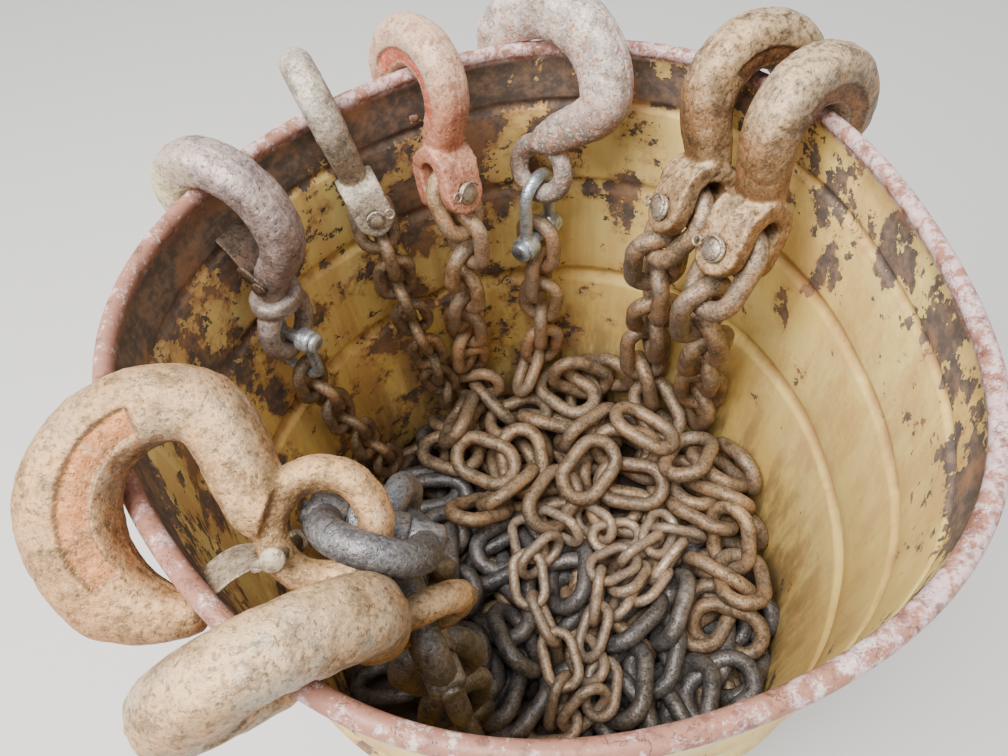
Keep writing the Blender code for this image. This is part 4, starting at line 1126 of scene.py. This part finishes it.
# Each loose run has then sunk under its own weight until it lies on something; the frame says how far
for name in HEAP:
    low = min((np.einsum("ij,kj->ki", l["frame"], link_path(l["kind"])) + l["centre"])[:, 2].min()
              - SWELL * CHAIN[l["kind"]][0] / 2 for l in runs[name])
    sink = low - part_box(name)[0][2]
    for l in runs[name]:
        l["centre"] = l["centre"] - np.array([0, 0, sink])


def link_tree(name, steps, sides):
    """Geometry nodes: a welded link on every point, turned as the point's own angles say."""
    tree = bpy.data.node_groups.new(name, "GeometryNodeTree")
    for label, way, kind in (("Geometry", "INPUT", "Geometry"), ("Wire", "INPUT", "Float"),
                             ("Length", "INPUT", "Float"), ("Width", "INPUT", "Float"),
                             ("Finish", "INPUT", "Material"), ("Geometry", "OUTPUT", "Geometry")):
        tree.interface.new_socket(label, in_out=way, socket_type="NodeSocket" + kind)
    given = node(tree, "NodeGroupInput").outputs
    wire = Value(given["Wire"])

    def make(kind, inputs=(), **settings):
        return node(tree, "GeometryNode" + kind, inputs, **settings).outputs[0]

    oval = make("CurvePrimitiveQuadrilateral", {"Width": given["Length"], "Height": given["Width"]})
    bend = make("FilletCurve", {"Curve": oval, "Count": 12, "Radius": Value(given["Width"]) * 0.4995,
                                "Limit Radius": True}, mode="POLY")
    even = make("ResampleCurve", {"Curve": bend, "Count": steps})
    # The weld swells the bar in the middle of one side
    along, across, _ = node(tree, "ShaderNodeSeparateXYZ", {0: make("InputPosition")}).outputs
    swell = node(tree, "ShaderNodeMapRange", {"Value": abs(Value(along)), "From Min": 0.0, "From Max": wire,
                                              "To Min": SWELL - 1, "To Max": 0.0},
                 interpolation_type="SMOOTHSTEP").outputs[0]
    one_side = wire.maths("GREATER_THAN", across, 0.0)
    thick = make("SetCurveRadius", {"Curve": even, "Radius": Value(swell) * one_side + 1.0})
    round_bar = make("CurvePrimitiveCircle", {"Resolution": sides, "Radius": wire * 0.5})
    link = make("CurveToMesh", {"Curve": thick, "Profile Curve": round_bar})
    soft = make("SetShadeSmooth", {"Geometry": link})
    angles = make("InputNamedAttribute", {"Name": "turn"}, data_type="FLOAT_VECTOR")
    facing = node(tree, "FunctionNodeEulerToRotation", {0: angles}).outputs[0]
    many = make("InstanceOnPoints", {"Points": given["Geometry"], "Instance": soft, "Rotation": facing})
    real = make("RealizeInstances", {0: many})
    painted = make("SetMaterial", {"Geometry": real, "Material": given["Finish"]})
    node(tree, "NodeGroupOutput", {"Geometry": painted})
    return tree


ON_TOP = link_tree("link on top of the heap", 36, 12)
BURIED = link_tree("link down in the heap", 20, 8)
BITE_SHOWN = 0.97
tones = np.random.default_rng(7)


def lay_chain(name, row, tree, finish):
    """One mesh of a run of links, made by geometry nodes on a point for each link."""
    wire, pitch, width = CHAIN[row[0]["kind"]]
    me = bpy.data.meshes.new(name)
    me.from_pydata([tuple(l["centre"]) for l in row], [], [])
    angles = me.attributes.new("turn", "FLOAT_VECTOR", "POINT")
    angles.data.foreach_set("vector", [a for l in row for a in Matrix(l["frame"].tolist()).to_euler()])
    tone = me.attributes.new("tone", "FLOAT", "POINT")
    tone.data.foreach_set("value", tones.random(len(row)))
    ob = new_object(name, me)
    mod = ob.modifiers.new("links", "NODES")
    mod.node_group = tree
    sizes = {"Wire": wire, "Length": pitch + BITE_SHOWN * wire, "Width": width - wire, "Finish": finish}
    for socket in tree.interface.items_tree:
        if socket.in_out == "INPUT" and socket.name in sizes:
            mod[socket.identifier] = sizes[socket.name]
    bake(ob)
    return ob


CHAIN_FINISHES = {
    "rusty_chain": iron_finish("rusty_chain", rgb(112, 92, 72), rgb(162, 138, 110), rgb(184, 124, 76),
                               rgb(212, 188, 154), 0.6, 0.45, 0.6, 0.4, scale=1.5, other=rgb(126, 116, 106)),
    "small_chain": iron_finish("small_chain", rgb(162, 142, 122), rgb(212, 192, 168), rgb(204, 140, 92),
                               rgb(230, 212, 188), 0.5, 0.45, 0.9, 0.5, scale=1.8, other=rgb(148, 142, 138)),
    "dark_chain": iron_finish("dark_chain", rgb(80, 79, 81), rgb(140, 137, 136), rgb(140, 104, 76),
                              rgb(172, 166, 160), 0.35, 0.4, 0.9, 0.5, scale=1.3, other=rgb(108, 111, 118)),
    "orange_chain": iron_finish("orange_chain", rgb(150, 122, 92), rgb(194, 162, 128), rgb(212, 144, 86),
                                rgb(224, 198, 162), 0.65, 0.4, 0.5, 0.3, scale=1.5,
                                other=rgb(156, 142, 128)),
}
STUD_RADIUS, STUD_PAST = 0.0070, 0.005
BARREL_RADIUS, BARREL_HALF = 0.0150, 0.0185
BOSS_RADIUS, BOSS_HALF = 0.0135, 0.0120


def stud(name, link, finish):
    """The bar across a coupling link, with its barrel in the middle and a boss at each side."""
    wire, _, width = CHAIN["coupling"]
    side = link["frame"][:, 1]
    bm = bmesh.new()
    for off, half, radius, edge in ((0, width / 2 + STUD_PAST, STUD_RADIUS, 0.0012),
                                    (0, BARREL_HALF, BARREL_RADIUS, 0.002),
                                    ((width - wire) / 2, BOSS_HALF, BOSS_RADIUS, 0.003),
                                    ((wire - width) / 2, BOSS_HALF, BOSS_RADIUS, 0.003)):
        middle = link["centre"] + side * off
        rod(bm, middle - side * half, middle + side * half, radius, edge=edge)
    ob = from_bm(name, bm)
    ob.data.materials.append(finish)
    return ob


for name, row in runs.items():
    kind = row[-1]["kind"]
    slot = {"small": "small_chain", "dark": "dark_chain"}.get(kind, "rusty_chain")
    finish = CHAIN_FINISHES["orange_chain" if name in ("chain_f", "chain_e") else slot]
    pieces = [lay_chain(name + "_links", [l for l in row if l["kind"] == kind], ON_TOP, finish)]
    if row[0]["kind"] == "coupling":
        pieces.append(lay_chain(name + "_coupling", row[:1], ON_TOP, finish))
        pieces.append(stud(name + "_stud", row[0], finish))
    for ob in pieces:
        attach(ob, "root")
        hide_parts(name)


# Buried chain
# The chain under the top layer, which shows in the gaps between the links above it.
BED_DEPTH = 0.05
BED_RINGS, BED_SIDES = 14, 64
draw = np.random.default_rng(21)
buried = []
for n in range(46):
    r = (WALL_INNER - 0.045) * math.sqrt(draw.random())
    a = draw.random() * 2 * math.pi
    spot = np.array([r * math.cos(a), r * math.sin(a)])
    kind = "dark" if spot[1] < -0.02 + 0.3 * spot[0] and draw.random() < 0.8 else "large"
    heading = draw.random() * 360
    for k in range(4):
        way = np.array([math.cos(math.radians(heading)), math.sin(math.radians(heading))])
        spot = spot + way * CHAIN[kind][1]
        if np.linalg.norm(spot) > WALL_INNER - 0.04:
            break
        z = mound(*spot) - 0.012 + 0.01 * draw.random()
        place = link_frame(heading, draw.uniform(-15, 15), (0, 75)[k % 2] + draw.uniform(-12, 12))
        buried.append(dict(kind=kind, centre=np.array([*spot, z]), run="deep_%02d" % n, order=k, held=False,
                           frame=place))
        heading += draw.uniform(-55, 55)
settle([dict(l, held=True) for l in links] + buried, 150, 60, sunk=0.045)
for kind, slot in (("dark", "dark_chain"), ("large", "rusty_chain")):
    row = [l for l in buried if l["kind"] == kind]
    ob = lay_chain("buried_" + kind + "_chain", row, BURIED, CHAIN_FINISHES[slot])
    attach(ob, "root")
    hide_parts("heap_core")

bed_verts = [(0, 0, float(mound(0, 0)) - BED_DEPTH)]
for j in range(1, BED_RINGS + 1):
    for k in range(BED_SIDES):
        t = 2 * math.pi * k / BED_SIDES
        r = (WALL_INNER - 0.002) * j / BED_RINGS
        x, y = r * math.cos(t), r * math.sin(t)
        lump = noise.noise(Vector((x, y, 0)) * 26) * 0.010
        bed_verts.append((x, y, float(mound(x, y)) - BED_DEPTH + lump))
bed_verts += [(x, y, FLOOR_TOP + 0.0005) for x, y, _ in bed_verts[-BED_SIDES:]]
bed_faces = [(0, 1 + k, 1 + (k + 1) % BED_SIDES) for k in range(BED_SIDES)]
for j in range(BED_RINGS):
    a, b = 1 + j * BED_SIDES, 1 + (j + 1) * BED_SIDES
    for k in range(BED_SIDES):
        q = (k + 1) % BED_SIDES
        bed_faces.append((a + k, b + k, b + q, a + q))
bed_faces.append(tuple(range(len(bed_verts) - BED_SIDES, len(bed_verts)))[::-1])
bed = add_mesh("scale_and_dust", bed_verts, bed_faces)
bed.data.materials.append(iron_finish("scale_and_dust", (0.05, 0.035, 0.028, 1), (0.08, 0.055, 0.04, 1),
                                      (0.12, 0.06, 0.03, 1), (0.16, 0.11, 0.07, 1), 0.5, 0.4, 0.0, 0.0))
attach(bed, "root")


# Floor, light and camera
# A plain pale floor under soft light from above, seen from over the near side of the rim with a 27 mm lens.
FLOOR_HALF = 6.0
floor = add_mesh("floor", [(-FLOOR_HALF, -FLOOR_HALF, 0), (FLOOR_HALF, -FLOOR_HALF, 0),
                           (FLOOR_HALF, FLOOR_HALF, 0), (-FLOOR_HALF, FLOOR_HALF, 0)], [(0, 1, 2, 3)])
pale = bpy.data.materials.new("pale_floor")
pale.use_nodes = True
pale.node_tree.nodes["Principled BSDF"].inputs["Base Color"].default_value = (0.72, 0.71, 0.69, 1)
pale.node_tree.nodes["Principled BSDF"].inputs["Roughness"].default_value = 0.8
floor.data.materials.append(pale)

world = bpy.data.worlds.new("soft daylight")
world.use_nodes = True
world.node_tree.nodes["Background"].inputs["Color"].default_value = (0.93, 0.96, 1.0, 1)
world.node_tree.nodes["Background"].inputs["Strength"].default_value = 0.86
bpy.context.scene.world = world


def soft_light(name, at, aim, size, power, colour=(1, 1, 1)):
    data = bpy.data.lights.new(name, "AREA")
    data.shape = "DISK"
    data.size = size
    data.energy = power
    data.color = colour
    lamp = new_object(name, data)
    lamp.location = at
    lamp.rotation_euler = (Vector(aim) - Vector(at)).to_track_quat("-Z", "Y").to_euler()


soft_light("overhead", (-0.75, -0.55, 3.1), (0, 0.15, 0.5), 1.8, 150, (1.0, 0.97, 0.92))
soft_light("from the left", (-2.4, -1.2, 2.6), (0.1, 0.1, 0.5), 1.6, 75)

CAMERA_AT = (0.0, -0.34378, 1.27704)
LOOK = Vector((-0.0501753, 0.56467348, -0.82378778))
RIGHT = Vector((0.9984986, 0.01021154, -0.05381699))
lens = bpy.data.cameras.new("camera")
lens.lens = 27.0
lens.sensor_width = 36.0
lens.clip_start = 0.02
camera = new_object("camera", lens)
back = -LOOK.normalized()
right = RIGHT.normalized()
up = back.cross(right)
camera.matrix_world = Matrix.Translation(CAMERA_AT) @ Matrix((right, up, back)).transposed().to_4x4()
bpy.context.scene.camera = camera
